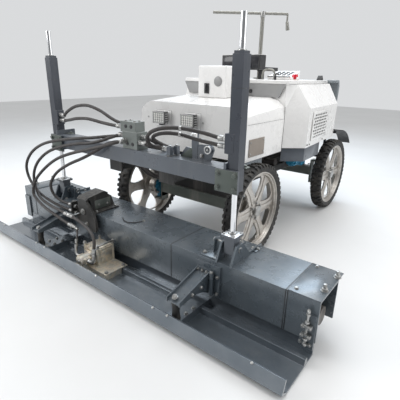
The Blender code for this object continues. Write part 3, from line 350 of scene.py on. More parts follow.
class Piece:
    """One named piece, put together from closed shapes in world metres."""

    def __init__(self, name):
        self.name = name
        self.bm = bmesh.new()

    def take(self, part, bevel=0.0, segments=2, matrix=None):
        """Adds a shape, its sharp edges rounded."""
        bmesh.ops.recalc_face_normals(part, faces=part.faces)
        if bevel:
            sharp = [edge for edge in part.edges if edge.calc_face_angle(0) > SHARP]
            bmesh.ops.bevel(part, geom=sharp, offset=bevel, segments=segments, profile=0.5,
                            affect="EDGES", clamp_overlap=True)
        if matrix:
            bmesh.ops.transform(part, matrix=matrix, verts=part.verts)
        mesh = bpy.data.meshes.new("part")
        part.to_mesh(mesh)
        part.free()
        self.bm.from_mesh(mesh)
        bpy.data.meshes.remove(mesh)
        return self

    def box(self, low, high, bevel=0.002, matrix=None):
        part = bmesh.new()
        bmesh.ops.create_cube(part, size=1)
        low = Vector(low)
        high = Vector(high)
        for vert in part.verts:
            for axis in range(3):
                vert.co[axis] = high[axis] if vert.co[axis] > 0 else low[axis]
        return self.take(part, bevel, 2, matrix)

    def pair(self, low, high, bevel=0.001):
        """The same box on the left and on the right."""
        for side in (-1, 1):
            self.box((side * low[0], *low[1:]), (side * high[0], *high[1:]), bevel)

    def rod(self, start, end, radius, end_radius=None, sides=24, bevel=0.001):
        start = Vector(start)
        end = Vector(end)
        part = bmesh.new()
        bmesh.ops.create_cone(part, cap_ends=True, segments=sides, radius1=radius,
                              radius2=radius if end_radius is None else end_radius,
                              depth=(end - start).length)
        place = axis_matrix((start + end) / 2, end - start)
        return self.take(part, bevel, 2, place)

    def along(self, axis, start, reach, radius, end_radius=None, sides=24, bevel=0.001):
        """A rod from start, parallel to one axis, to where that coordinate is reach."""
        end = list(start)
        end["xyz".index(axis)] = reach
        return self.rod(start, end, radius, end_radius, sides, bevel)

    def prism(self, outline, axis, low, high, bevel=0.0015, matrix=None):
        """An outline in the two axes other than `axis`, in XYZ order, extruded from low to high."""
        part = bmesh.new()
        verts = []
        for point in outline:
            place = list(point)
            place.insert(axis, low)
            verts.append(part.verts.new(place))
        face = part.faces.new(verts)
        grown = bmesh.ops.extrude_face_region(part, geom=[face])
        step = Vector((0, 0, 0))
        step[axis] = high - low
        tops = [item for item in grown["geom"] if isinstance(item, bmesh.types.BMVert)]
        bmesh.ops.translate(part, verts=tops, vec=step)
        return self.take(part, bevel, 2, matrix)

    def spun(self, profile, origin, axis, steps=48):
        """A closed (along, radius) outline turned about an axis through origin."""
        part = bmesh.new()
        verts = [part.verts.new((radius, 0, along)) for along, radius in profile]
        edges = [part.edges.new(pair) for pair in zip(verts, verts[1:] + verts[:1])]
        bmesh.ops.spin(part, geom=verts + edges, cent=(0, 0, 0), axis=(0, 0, 1), angle=math.tau,
                       steps=steps, use_merge=True)
        bmesh.ops.remove_doubles(part, verts=part.verts, dist=1e-6)
        return self.take(part, 0, 0, axis_matrix(origin, axis))

    def sheet(self, outlines, thickness, matrix, bevel=0.001):
        """A flat plate from closed outlines, the first its edge and the others its holes, on z = 0."""
        curve = bpy.data.curves.new("outline", "CURVE")
        curve.dimensions = "2D"
        curve.fill_mode = "BOTH"
        curve.extrude = thickness / 2 - bevel
        curve.bevel_depth = bevel
        curve.bevel_resolution = 1
        curve.offset = -bevel
        for outline in outlines:
            spline = curve.splines.new("POLY")
            spline.points.add(len(outline) - 1)
            for point, (x, y) in zip(spline.points, outline):
                point.co = (x, y, 0, 1)
            spline.use_cyclic_u = True
        holder = bpy.data.objects.new("outline", curve)
        mesh = bpy.data.meshes.new_from_object(holder)
        part = bmesh.new()
        part.from_mesh(mesh)
        bpy.data.objects.remove(holder)
        bpy.data.curves.remove(curve)
        bpy.data.meshes.remove(mesh)
        bmesh.ops.remove_doubles(part, verts=part.verts, dist=1e-6)
        return self.take(part, 0, 0, matrix)

    def tube(self, points, radius, sides=10):
        part = bmesh.new()
        skin(part, [Vector(point) for point in points], radius, sides)
        return self.take(part)

    def bolt(self, seat, axis, size=0.006, washer=True):
        """Hex bolt head, with its washer, on a face. size is the thread's radius."""
        seat = Vector(seat)
        axis = Vector(axis).normalized()
        lift = 0.0
        if washer:
            lift = size * 0.35
            self.rod(seat - axis * 0.0005, seat + axis * lift, size * 2.1, sides=20, bevel=0.0004)
        top = seat + axis * (lift + size * 1.25)
        self.rod(seat + axis * lift * 0.9, top, size * 1.75, sides=6, bevel=0.0006)
        return self.rod(top - axis * 0.001, top + axis * size * 0.18, size * 1.45, size * 1.2, 18, 0)

    def nut(self, seat, axis, size=0.006, thread=1.6):
        """Washer, hex nut and the thread's end standing out of it."""
        self.bolt(seat, axis, size)
        seat = Vector(seat)
        axis = Vector(axis).normalized()
        return self.rod(seat, seat + axis * size * (1.6 + thread), size, sides=14, bevel=0.0008)

    def done(self, look, body, slot=None, replaces=(), crease=35):
        mesh = bpy.data.meshes.new(self.name)
        self.bm.to_mesh(mesh)
        self.bm.free()
        mesh.shade_smooth()
        mesh.set_sharp_from_angle(angle=math.radians(crease))
        mesh.materials.append(LOOKS[look])
        obj = bpy.data.objects.new(self.name, mesh)
        bpy.context.scene.collection.objects.link(obj)
        if body:
            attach(obj, body)
        if replaces:
            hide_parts(*replaces)
        return obj


def frames_along(points):
    """(point, side, up) at each point, turned as little as possible from one to the next."""
    heading = (points[1] - points[0]).normalized()
    side = heading.orthogonal().normalized()
    made = []
    for i, point in enumerate(points):
        after = points[min(i + 1, len(points) - 1)]
        before = points[max(i - 1, 0)]
        heading = (after - before).normalized()
        side = (side - heading * side.dot(heading)).normalized()
        made.append((point, side, heading.cross(side)))
    return made


def skin(part, points, radius, sides):
    """A capped tube along the points, with (length along, angle around) stored as the attribute laid."""
    laid = part.verts.layers.float_vector.new("laid")
    rings = []
    run = 0.0
    last = points[0]
    for point, side, up in frames_along(points):
        run += (point - last).length
        last = point
        ring = []
        for k in range(sides):
            angle = math.tau * k / sides
            vert = part.verts.new(point + (side * math.cos(angle) + up * math.sin(angle)) * radius)
            vert[laid] = (run, angle, 0)
            ring.append(vert)
        rings.append(ring)
    for near, far in zip(rings, rings[1:]):
        for k in range(sides):
            m = (k + 1) % sides
            part.faces.new((near[k], near[m], far[m], far[k]))
    part.faces.new(rings[0])
    part.faces.new(rings[-1])


def arc(centre, radius, start, end, count):
    """Points on an arc in a plane, angles in degrees."""
    made = []
    for i in range(count + 1):
        angle = math.radians(start + (end - start) * i / count)
        made.append((centre[0] + radius * math.cos(angle), centre[1] + radius * math.sin(angle)))
    return made


def rounded(x0, x1, y0, y1, radius):
    """A rectangle's outline with round corners."""
    corners = ((x1 - radius, y0 + radius, -90), (x1 - radius, y1 - radius, 0),
               (x0 + radius, y1 - radius, 90), (x0 + radius, y0 + radius, 180))
    made = []
    for x, y, start in corners:
        made += arc((x, y), radius, start, start + 90, 4)
    return made


def dress(node, look, bevel):
    """Gives a CAD node its finish and rounds its edges, without changing its mesh."""
    obj = NODES[node]
    obj.data.materials.clear()
    obj.data.materials.append(LOOKS[look])
    custom = obj.data.attributes.get("custom_normal")
    if custom:
        obj.data.attributes.remove(custom)
    obj.data.shade_smooth()
    weld = obj.modifiers.new("Weld", "WELD")
    weld.merge_threshold = 1e-5
    rounding = obj.modifiers.new("Edges", "BEVEL")
    rounding.width = bevel
    rounding.segments = 2
    rounding.limit_method = "ANGLE"
    rounding.angle_limit = SHARP
    rounding.harden_normals = True
    rounding.use_clamp_overlap = True


# Hoses. The first four follow the CAD routes.

HOSE_R = 0.010
THIN_R = 0.0065
GAP = 0.0003
PORT_X = 0.7047
PORT_Y = -0.990
ELBOW_Z = 0.826
RETURNS = ((0.335, -0.992), (0.345, -0.948))
RETURN_X = [x - 0.0125 - GAP for x, y in RETURNS]
BULKHEAD_X = -0.512 - GAP
MANIFOLD_X = -0.03 - GAP
CAP_X = -0.046 - GAP
COUPLING = (-0.367, -1.190, 0.242)
CLAMPED = (-0.427, -1.175, 0.301)
ROUTES = {
    "mast_hose_upper": [(PORT_X, PORT_Y, 0.927), (PORT_X - 0.04, PORT_Y, 0.927), (0.565, -1.015, 0.947),
                        (0.470, -1.060, 0.961), (0.392, -1.100, 0.957), (0.328, -1.118, 0.935),
                        (0.285, -1.108, 0.900), (0.262, -1.075, 0.862), (0.262, -1.030, 0.835),
                        (RETURN_X[0] - 0.03, RETURNS[0][1], ELBOW_Z),
                        (RETURN_X[0], RETURNS[0][1], ELBOW_Z)],
    "mast_hose_lower": [(PORT_X, PORT_Y, 0.892), (PORT_X - 0.04, PORT_Y, 0.892), (0.548, -1.005, 0.905),
                        (0.450, -1.040, 0.926), (0.375, -1.070, 0.928), (0.318, -1.084, 0.912),
                        (0.285, -1.066, 0.890), (0.272, -1.026, 0.866), (0.276, -0.980, 0.842),
                        (RETURN_X[1] - 0.025, RETURNS[1][1], ELBOW_Z),
                        (RETURN_X[1], RETURNS[1][1], ELBOW_Z)],
    "drop_hose_outer": [(MANIFOLD_X, -0.955, 0.852), (MANIFOLD_X - 0.04, -0.955, 0.852),
                        (-0.190, -0.985, 0.836), (-0.320, -1.020, 0.816), (-0.470, -1.055, 0.796),
                        (-0.640, -1.080, 0.766), (-0.800, -1.100, 0.722), (-0.934, -1.115, 0.650),
                        (-1.018, -1.125, 0.556), (-1.016, -1.130, 0.470), (-0.955, -1.130, 0.395),
                        (-0.860, -1.125, 0.340), (-0.745, -1.110, 0.303), (-0.635, -1.090, 0.281),
                        (BULKHEAD_X - 0.04, -1.082, 0.277), (BULKHEAD_X, -1.082, 0.277)],
    "drop_hose_inner": [(MANIFOLD_X, -0.990, 0.818), (MANIFOLD_X - 0.04, -0.990, 0.818),
                        (-0.115, -1.010, 0.812), (-0.170, -1.036, 0.790), (-0.240, -1.052, 0.747),
                        (-0.353, -1.070, 0.689), (-0.510, -1.095, 0.619), (-0.635, -1.110, 0.545),
                        (-0.703, -1.120, 0.470), (-0.714, -1.122, 0.420), (-0.690, -1.115, 0.368),
                        (-0.632, -1.098, 0.333), (BULKHEAD_X - 0.03, -1.082, 0.323),
                        (BULKHEAD_X, -1.082, 0.323)],
    "left_mast_hose_upper": [(-PORT_X, PORT_Y, 0.927), (-PORT_X + 0.04, PORT_Y, 0.927),
                             (-0.585, -1.000, 0.965),
                             (-0.490, -1.000, 1.000), (-0.385, -0.985, 1.010), (-0.280, -0.970, 0.985),
                             (-0.195, -0.960, 0.948), (-0.130, -0.952, 0.927),
                             (CAP_X - 0.03, -0.950, 0.925), (CAP_X, -0.950, 0.925)],
    "left_mast_hose_lower": [(-PORT_X, PORT_Y, 0.892), (-PORT_X + 0.04, PORT_Y, 0.892),
                             (-0.570, -1.010, 0.905),
                             (-0.460, -1.025, 0.925), (-0.345, -1.020, 0.933), (-0.230, -1.005, 0.920),
                             (-0.130, -0.995, 0.912), (CAP_X - 0.03, -0.990, 0.912),
                             (CAP_X, -0.990, 0.912)],
    "exciter_supply": [(MANIFOLD_X, -0.992, 0.862), (MANIFOLD_X - 0.035, -0.992, 0.862),
                       (-0.130, -1.020, 0.840), (-0.205, -1.044, 0.812), (-0.300, -1.056, 0.788),
                       (-0.430, -1.068, 0.768), (-0.590, -1.086, 0.730), (-0.732, -1.104, 0.676),
                       (-0.844, -1.122, 0.597), (-0.914, -1.130, 0.505), (-0.912, -1.138, 0.415),
                       (-0.835, -1.150, 0.330), (-0.699, -1.158, 0.303), (-0.543, -1.165, 0.299),
                       (CLAMPED[0] - 0.03, -1.175, 0.301), CLAMPED],
    "exciter_return": [(-0.002, -1.0113, 0.835), (-0.002, -1.046, 0.835), (-0.040, -1.078, 0.823),
                       (-0.136, -1.086, 0.793), (-0.270, -1.097, 0.756), (-0.450, -1.106, 0.706),
                       (-0.610, -1.118, 0.645), (-0.768, -1.130, 0.550), (-0.866, -1.154, 0.450),
                       (-0.872, -1.178, 0.360), (-0.802, -1.178, 0.308), (-0.715, -1.182, 0.282),
                       (-0.582, -1.184, 0.262), (COUPLING[0] - 0.045, -1.190, 0.242), COUPLING],
    "exciter_supply_end": [CLAMPED, (CLAMPED[0] + 0.03, -1.176, 0.301), (-0.306, -1.190, 0.302),
                           (-0.196, -1.205, 0.291), (-0.116, -1.220, 0.270), (-0.072, -1.238, 0.240),
                           (-0.058, -1.253, 0.195), (-0.058, -1.256, 0.160), (-0.060, -1.256, 0.132),
                           (-0.074, -1.256, 0.104), (-0.095, -1.256, 0.097), (-0.1187, -1.256, 0.097)],
    "exciter_return_end": [(-0.350, -1.191, 0.242), (-0.325, -1.195, 0.241), (-0.285, -1.214, 0.222),
                           (-0.264, -1.238, 0.185), (-0.260, -1.248, 0.160), (-0.262, -1.250, 0.135),
                           (-0.258, -1.254, 0.112),
                           (-0.246, -1.256, 0.100), (-0.228, -1.256, 0.097), (-0.2113, -1.256, 0.097)],
    "pilot_line": [(0.0953, -0.968, 0.862), (0.118, -0.968, 0.862), (0.165, -0.950, 0.846),
                   (0.195, -0.915, 0.815), (0.205, -0.880, 0.790), (0.205, -0.845, 0.760),
                   (0.190, -0.800, 0.715), (0.170, -0.745, 0.668)],
    "lift_line": [(0.0953, -0.990, 0.832), (0.120, -0.990, 0.832), (0.172, -0.975, 0.822),
                  (0.212, -0.935, 0.818), (0.232, -0.888, 0.800), (0.236, -0.850, 0.760),
                  (0.222, -0.806, 0.712), (0.198, -0.752, 0.668)],
}
DROPS = ("drop_hose_outer", "drop_hose_inner")
EXCITER_LONG = ("exciter_supply", "exciter_return")
EXCITER_ENDS = ("exciter_supply_end", "exciter_return_end")
LAST_CRIMP = {"exciter_supply_end": ((-0.058, -1.256, 0.150), (-0.058, -1.252, 0.200)),
              "exciter_return_end": ((-0.260, -1.248, 0.150), (-0.262, -1.240, 0.190))}
# (x, height of the sag, radius) of each hose from the front cross member to the back of the crossbeam.
BUNDLE = ((-0.150, 0.530, 0.010), (-0.122, 0.512, 0.010), (-0.085, 0.522, 0.008), (-0.050, 0.545, 0.010),
          (0.020, 0.530, 0.008), (0.062, 0.550, 0.010))


def smooth_route(points, step):
    """Straight end lengths, and between them points about a step apart on a Catmull-Rom curve."""
    points = [Vector(point) for point in points]
    fine = []
    for a, b, c, d in zip(points, points[1:], points[2:], points[3:]):
        for i in range(24):
            t = i / 24
            fine.append(0.5 * (2 * b + (c - a) * t + (2 * a - 5 * b + 4 * c - d) * t * t
                               + (3 * b - a - 3 * c + d) * t ** 3))
    fine.append(points[-2])
    total = sum((b - a).length for a, b in zip(fine, fine[1:]))
    count = max(4, round(total / step))
    out = [points[0], fine[0]]
    run = 0.0
    for a, b in zip(fine, fine[1:]):
        run += (b - a).length
        if run >= total * (len(out) - 1) / count and len(out) <= count:
            out.append(b)
    return out + [fine[-1], points[-1]]


def hose(name, points, radius=HOSE_R, body="chassis", across=None):
    """One hydraulic hose. across is (other body, start, end) for a hose that runs over a joint; only
    whether it is given is read, and such a hose is put on no body.
    """
    route = smooth_route(points, 0.012)
    part = Piece(name + "_line")
    skin(part.bm, route, radius, 14)
    bmesh.ops.recalc_face_normals(part.bm, faces=part.bm.faces)
    stands_for = (name,) if name in NODES else ()
    obj = part.done("hose", None if across else body, replaces=stands_for, crease=60)
    if across:
        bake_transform(obj)
    return route


def crimp(part, start, onward, radius=HOSE_R):
    """Swivel nut and swaged ferrule that hold a hose's end. onward is a point along the hose."""
    axis = (Vector(onward) - Vector(start)).normalized()
    start = Vector(start)
    part.rod(start, start + axis * 0.016, radius * 1.55, sides=6, bevel=0.001)
    part.rod(start + axis * 0.015, start + axis * 0.024, radius * 1.1, sides=16)
    part.rod(start + axis * 0.022, start + axis * 0.050, radius * 1.38, sides=20, bevel=0.0012)
    for k in range(3):
        ring = start + axis * (0.027 + 0.007 * k)
        part.rod(ring, ring + axis * 0.003, radius * 1.46, sides=20, bevel=0.0006)


def bundle_route(x, sag):
    return [(x, -0.330, 0.4805), (x, -0.332, 0.515), (x + 0.004, -0.372, 0.545),
            (x + 0.012, -0.470, sag + 0.010),
            (x + 0.020, -0.600, sag - 0.010),
            (x + 0.020, -0.720, sag + 0.035), (x + 0.015, -0.810, sag + 0.115), (x + 0.008, -0.862, 0.700),
            (x, -0.890, 0.736), (x, -0.9147, 0.736)]


def all_hoses():
    ends = Piece("hose_ends_chassis")
    head_ends = Piece("hose_ends_head")
    plate_ends = Piece("hose_ends_plate")
    for name, points in ROUTES.items():
        if name in DROPS + EXCITER_LONG:
            across = ("lift_left", (-0.36, -1.02, 0.80), (-0.85, -1.10, 0.42))
            route = hose(name, points, across=across)
            crimp(head_ends, route[-1], route[-2])
            crimp(ends, route[0], route[1])
        elif name in EXCITER_ENDS:
            thin = THIN_R if name == "exciter_return_end" else HOSE_R
            across = ("plate", points[0], points[-1])
            route = hose(name, points, thin, body="head", across=across)
            crimp(head_ends, route[0], route[1], thin)
            crimp(plate_ends, *LAST_CRIMP[name], thin)
        else:
            route = hose(name, points)
            crimp(ends, route[-1], route[-2])
            crimp(ends, route[0], route[1])
    for number, (x, sag, radius) in enumerate(BUNDLE):
        route = hose("carrier_hose_%d" % (number + 1), bundle_route(x, sag), radius)
        crimp(ends, route[-1], route[-2], radius)
        crimp(ends, route[0], route[1], radius)
    head_ends.rod(Vector(COUPLING) - Vector((0.002, 0, 0)), (-0.348, -1.191, 0.242), 0.0125, sides=6)
    head_ends.box((-0.439, -1.168, 0.286), (-0.415, -1.098, 0.296), 0.002)
    head_ends.along("x", (-0.437, -1.175, 0.301), -0.417, 0.0155, sides=20, bevel=0.002)
    elbow = [(-0.1185, -1.256, 0.097), (-0.092, -1.256, 0.097), (-0.074, -1.256, 0.104),
             (-0.063, -1.256, 0.118), (-0.059, -1.256, 0.137), (-0.058, -1.256, 0.158)]
    plate_ends.tube(elbow, 0.0128, 16)
    plate_ends.along("x", (-0.1185, -1.256, 0.097), -0.102, 0.0165, sides=6)
    plate_ends.along("z", (-0.058, -1.256, 0.150), 0.170, 0.0165, sides=6)
    pipe = [(-0.260, -1.248, 0.160), (-0.262, -1.250, 0.135), (-0.258, -1.254, 0.112),
            (-0.246, -1.256, 0.100), (-0.228, -1.256, 0.097), (-0.2115, -1.256, 0.097)]
    plate_ends.tube(pipe, 0.0082, 14)
    plate_ends.along("x", (-0.229, -1.256, 0.097), -0.2115, 0.0145, sides=6)
    ends.done("zinc", "chassis")
    head_ends.done("zinc", "head")
    plate_ends.done("zinc", "plate")


# Wheels


def tyre(tag):
    low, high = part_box("tyre_" + tag)
    centre = (low + high) / 2
    radius = (high.z - low.z) / 2
    rim_low, rim_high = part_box("rim_" + tag)
    rim_radius = (rim_high.z - rim_low.z) / 2
    half = (high.x - low.x) / 2
    knob = 0.014
    body_r = radius - knob
    part = Piece("tyre_tread_" + tag)
    wall = []
    for along, out in ((0.80, rim_radius + 0.001), (0.88, rim_radius + 0.010), (0.96, rim_radius + 0.020),
                       (0.97, rim_radius + 0.030), (0.90, body_r - 0.008), (0.70, body_r - 0.001),
                       (0.30, body_r + 0.002)):
        wall.append((along * half, out))
    profile = wall + [(-along, out) for along, out in reversed(wall)]
    part.spun(profile, centre, OUT_RIGHT, 72)
    rows = 48
    for row in range(rows):
        turn = Matrix.Translation(centre) @ Matrix.Rotation(math.tau * row / rows, 4, "X")
        shift = Matrix.Rotation(math.pi / rows, 4, "X")
        for s in (-1, 1):
            place = turn @ (shift if s > 0 else Matrix())
            shoulder = [(s * half * 0.42, body_r - 0.004), (s * half * 0.99, body_r - 0.022),
                        (s * half * 0.99, body_r - 0.006), (s * half * 0.86, radius - 0.004),
                        (s * half * 0.46, radius - 0.0005)]
            if s < 0:
                shoulder.reverse()
            knob_part = bmesh.new()
            verts = [knob_part.verts.new((x, -0.0105, z)) for x, z in shoulder]
            face = knob_part.faces.new(verts)
            grown = bmesh.ops.extrude_face_region(knob_part, geom=[face])
            tops = [item for item in grown["geom"] if isinstance(item, bmesh.types.BMVert)]
            bmesh.ops.translate(knob_part, verts=tops, vec=(0, 0.021, 0))
            part.take(knob_part, 0.0018, 1, place)
        if row % 2:
            part.box((-half * 0.30, -0.012, body_r - 0.004), (half * 0.30, 0.012, radius - 0.0005), 0.002,
                     turn)
    part.done("tyre", "wheel_" + tag, replaces=("tyre_" + tag,))


def spoke_window(index, count, hub_r, outer):
    """Petal-shaped opening between two spokes."""
    middle = math.tau * (index + 0.5) / count
    spread = math.pi / count
    inner = hub_r + 0.012
    points = []
    for radius, half in ((inner, 0.10), (inner + 0.022, 0.30), (inner + 0.055, 0.52),
                         (outer - 0.050, 0.62), (outer - 0.018, 0.58), (outer, 0.44)):
        points.append((radius, half * spread))
    outline = [(radius * math.cos(middle - half), radius * math.sin(middle - half)) for radius,
               half in points]
    outline += [(outer * math.cos(middle + t * spread), outer * math.sin(middle + t * spread))
                for t in (-0.3, 0.0, 0.3)]
    outline += [(radius * math.cos(middle + half), radius * math.sin(middle + half))
                for radius, half in reversed(points)]
    outline += [((inner - 0.003) * math.cos(middle), (inner - 0.003) * math.sin(middle))]
    return outline


def rim(tag, side):
    """Cast wheel: stepped barrel, six flared spokes, star hub and hub cap with wheel nuts."""
    low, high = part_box("rim_" + tag)
    centre = (low + high) / 2
    radius = (high.z - low.z) / 2
    outer = high.x if side > 0 else low.x
    out = Vector((side, 0, 0))
    face = Vector((outer, centre.y, centre.z))
    part = Piece("cast_rim_" + tag)
    depth = 0.0765
    barrel = [(0.0, radius), (0.0, radius - 0.007), (-0.006, radius - 0.012), (-0.011, radius - 0.013),
              (-0.013, radius - 0.020), (-0.028, radius - 0.026), (-0.052, radius - 0.026),
              (-depth + 0.008, radius - 0.017), (-depth, radius - 0.016), (-depth, radius)]
    part.spun(barrel, face, out, 96)
    ring = arc((0, 0), radius - 0.024, 0, 360 - 360 / 72, 71)
    windows = [spoke_window(i, 6, 0.085, radius - 0.036) for i in range(6)]
    matrix = axis_matrix(face - out * 0.036, out)
    part.sheet([ring] + windows, 0.014, matrix, 0.003)
    for i in range(6):
        spine = matrix @ Matrix.Rotation(math.tau * i / 6, 4, "Z")
        outline = [(0.050, -0.020), (0.150, -0.011), (radius - 0.030, -0.024), (radius - 0.030, 0.024),
                   (0.150, 0.011), (0.050, 0.020)]
        part.prism(outline, 2, 0.004, 0.013, 0.0030, spine)
    part.rod(face - out * 0.060, face - out * 0.022, 0.086, 0.060, 40, 0.003)
    part.done("alloy", "wheel_" + tag, replaces=("rim_" + tag,))
    cap = Piece("hub_cap_" + tag)
    cap.rod(face - out * 0.024, face - out * 0.0005, 0.042, 0.038, 32, 0.003)
    for i in range(6):
        angle = math.tau * (i + 0.5) / 6
        spot = face + Vector((0, math.cos(angle), math.sin(angle))) * 0.056
        cap.nut(spot - out * 0.021, out, 0.0055, 0.5)
    cap.done("zinc", "wheel_" + tag)


def hub_motor(tag, side):
    """Ribbed wheel motor with its bolts, the blue neck and block on the kingpin post, and the pins."""
    low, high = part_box("knuckle_" + tag)
    rim_low, rim_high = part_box("rim_" + tag)
    face_x = high.x if side > 0 else low.x
    pin_x = (low.x + 0.022) if side > 0 else (high.x - 0.022)
    y = (rim_low.y + rim_high.y) / 2
    z = (rim_low.z + rim_high.z) / 2
    out = Vector((side, 0, 0))
    end = Vector((face_x, y, z))
    barrel = Piece("hub_motor_" + tag)
    ribs = []
    for i in range(6):
        near = -0.058 + i * 0.0085
        ribs += [(near, 0.075), (near + 0.004, 0.075), (near + 0.004, 0.069), (near + 0.0085, 0.069)]
    barrel.spun([(-0.062, 0.010), (-0.062, 0.070)] + ribs + [(-0.004, 0.072), (0.0, 0.066), (0.0, 0.010)],
                end, out, 48)
    for i in range(8):
        angle = math.tau * (i + 0.5) / 8
        spot = end + Vector((0, math.cos(angle), math.sin(angle))) * 0.062 - out * 0.062
        barrel.bolt(spot, -out, 0.0045, False)
    barrel.done("alloy", "hub_" + tag, replaces=("knuckle_" + tag,))
    knuckle = Piece("knuckle_body_" + tag)
    pin = Vector((pin_x, y, z))
    up = Vector(UP)
    knuckle.rod(pin - up * 0.0995, pin + up * 0.0995, 0.022, sides=28, bevel=0.002)
    knuckle.rod(end - out * 0.063, pin, 0.060, 0.034, 32, 0.003)
    knuckle.box((pin_x - 0.018, y - 0.050, z - 0.030), (pin_x + 0.018, y + 0.050, z + 0.030), 0.006)
    knuckle.done("blue", "hub_" + tag)
    pins = Piece("kingpin_" + tag)
    for s in (-1, 1):
        pins.rod(pin + up * s * 0.098, pin + up * s * 0.1165, 0.0120, sides=24)
    pins.done("zinc", "hub_" + tag)


def wheels():
    for tag in WHEELS:
        side = 1 if tag.endswith("right") else -1
        tyre(tag)
        rim(tag, side)
        hub_motor(tag, side)


# Screed head


def both(points):
    """The same places on the right and on the left."""
    return [(x * side, y, z) for side in (1, -1) for x, y, z in points]


def bolts(part, seats, axis, size=0.006, washer=True):
    for seat in seats:
        part.bolt(seat, axis, size, washer)


def fillet_bead(part, start, end, radius):
    """A weld bead with its ripples."""
    start = Vector(start)
    end = Vector(end)
    count = max(3, round((end - start).length / 0.006))
    for i in range(count):
        near = start.lerp(end, i / count)
        far = start.lerp(end, (i + 1) / count)
        part.rod(near, far, radius, radius * 0.78, 8, 0)


def head_details():
    seams = Piece("head_seams")
    for x, half in ((0.3963, 0.0030), (1.1000, 0.0026), (1.1095, 0.0018)):
        for side in (-1, 1):
            seams.box((side * x - half, -1.0556, 0.092), (side * x + half, -1.0545, HEAD_TOP), 0)
            seams.box((side * x - half, -1.0550, 0.3055), (side * x + half, -0.745, 0.3066), 0)
    seams.done("plastic", "head")
    plates = Piece("head_flanges")
    plates.pair((0.7925, -1.0565, HEAD_TOP), (0.8015, -0.745, 0.3225))
    plates.pair((0.5960, -1.045, HEAD_TOP), (0.7110, -0.765, 0.3135))
    plates.pair((0.8015, -0.835, HEAD_TOP), (0.8180, -0.745, 0.3110))
    plates.pair((1.1090, -1.055, 0.3062), (1.2600, -0.750, 0.3102))
    plates.pair((1.1150, -0.822, 0.240), (1.2590, -0.816, HEAD_TOP))
    plates.pair((1.1030, -1.0572, 0.094), (1.1075, -1.0552, 0.3075), 0.0006)
    plates.pair((1.1030, -1.0572, 0.3060), (1.1075, -0.7450, 0.3080), 0.0006)
    for side in (-1, 1):
        fillet_bead(plates, (side * 0.714, -1.05, 0.3075), (side * 0.714, -0.93, 0.3075), 0.003)
    plates.done("dark", "head")
    fixings = Piece("head_fixings")
    bolts(fixings, both([(0.780, -0.800, HEAD_TOP), (0.786, -0.900, HEAD_TOP), (0.810, -0.800, 0.311)]), UP,
          0.0055)
    bolts(fixings, both([(0.611, -1.020, 0.3135), (0.697, -1.020, 0.3135), (0.611, -0.79, 0.3135),
                         (0.697, -0.79, 0.3135)]), UP, 0.006)
    for seat in both([(1.240, -0.960, 0.3102), (1.248, -0.810, 0.3102)]):
        fixings.nut(seat, UP, 0.0085, 2.4)
    bolts(fixings, both([(1.135, -1.025, 0.3102), (1.135, -0.775, 0.3102)]), UP, 0.005)
    bolts(fixings, both([(x, -1.0672, z) for x in (0.605, 0.73) for z in (0.125, 0.225)]), TO_HEAD, 0.0050)
    fixings.done("zinc", "head")
    shoe = Piece("shoe_fittings")
    shoe.along("z", (1.222, -1.0765, 0.072), 0.268, 0.0058, sides=18)
    for z, size in ((0.080, 0.012), (0.108, 0.0135), (0.196, 0.0125), (0.236, 0.0115), (0.252, 0.010)):
        shoe.along("z", (1.222, -1.0765, z), z + 0.011, size, sides=6)
    for z in (0.124, 0.172):
        shoe.box((1.200, -1.0860, z), (1.246, -1.0652, z + 0.016), 0.002)
    bolts(shoe, [(x, -1.0862, z) for x in (1.206, 1.239) for z in (0.132, 0.180)], TO_HEAD, 0.0045)
    bolts(shoe, [(1.197, -1.0655, 0.080), (1.240, -1.0655, 0.080)], TO_HEAD, 0.0045)
    shoe.done("zinc", "head")


def lift_details():
    """Pin heads, ears with their ring, pads and top plates of the two lift feet."""
    fixed = Piece("lift_ears")
    pins = Piece("lift_pins")
    for side in (-1, 1):
        for x in (0.706, 0.806):
            step = 0.0045 if x > 0.75 else -0.0045
            pins.rod((side * x, MAST_Y, PIN_Z), (side * (x + step), MAST_Y, PIN_Z), 0.0165, sides=24)
            pins.rod((side * x, MAST_Y, PIN_Z), (side * (x + step * 2), MAST_Y, PIN_Z), 0.009, sides=6)
        for x in (0.640, 0.690):
            fixed.box((side * x, MAST_Y, 0.3135), (side * (x + 0.006), -0.935, 0.392), 0.001)
        pins.along("x", (side * 0.634, -0.960, PIN_Z), side * 0.702, 0.0055, sides=16)
        loop = [Vector((side * 0.630, -0.960 + 0.013 * math.cos(t), PIN_Z + 0.013 * math.sin(t)))
                for t in [math.radians(a) for a in range(0, 331, 30)]]
        pins.tube(loop, 0.0018, 8)
    fixed.done("dark", "head")
    pins.done("zinc", "head")
    for side, tag in SIDES:
        pad = Piece("lift_pad_" + tag)
        x = side * MAST_X
        pad.along("z", (x, MAST_Y, 0.4520), 0.4640, 0.0235, 0.0205, 28, 0.001)
        bolts(pad, [(x + dx, MAST_Y + dy, 0.4522) for dx in (-0.031, 0.031) for dy in (-0.031, 0.031)],
              UP, 0.0042)
        pad.done("zinc", "lift_" + tag)
        plate = Piece("lift_plate_" + tag)
        plate.box((x - 0.0415, -1.0265, 0.4522), (x + 0.0415, -0.9435, 0.4548), 0.0006)
        plate.done("ground_steel", "lift_" + tag)


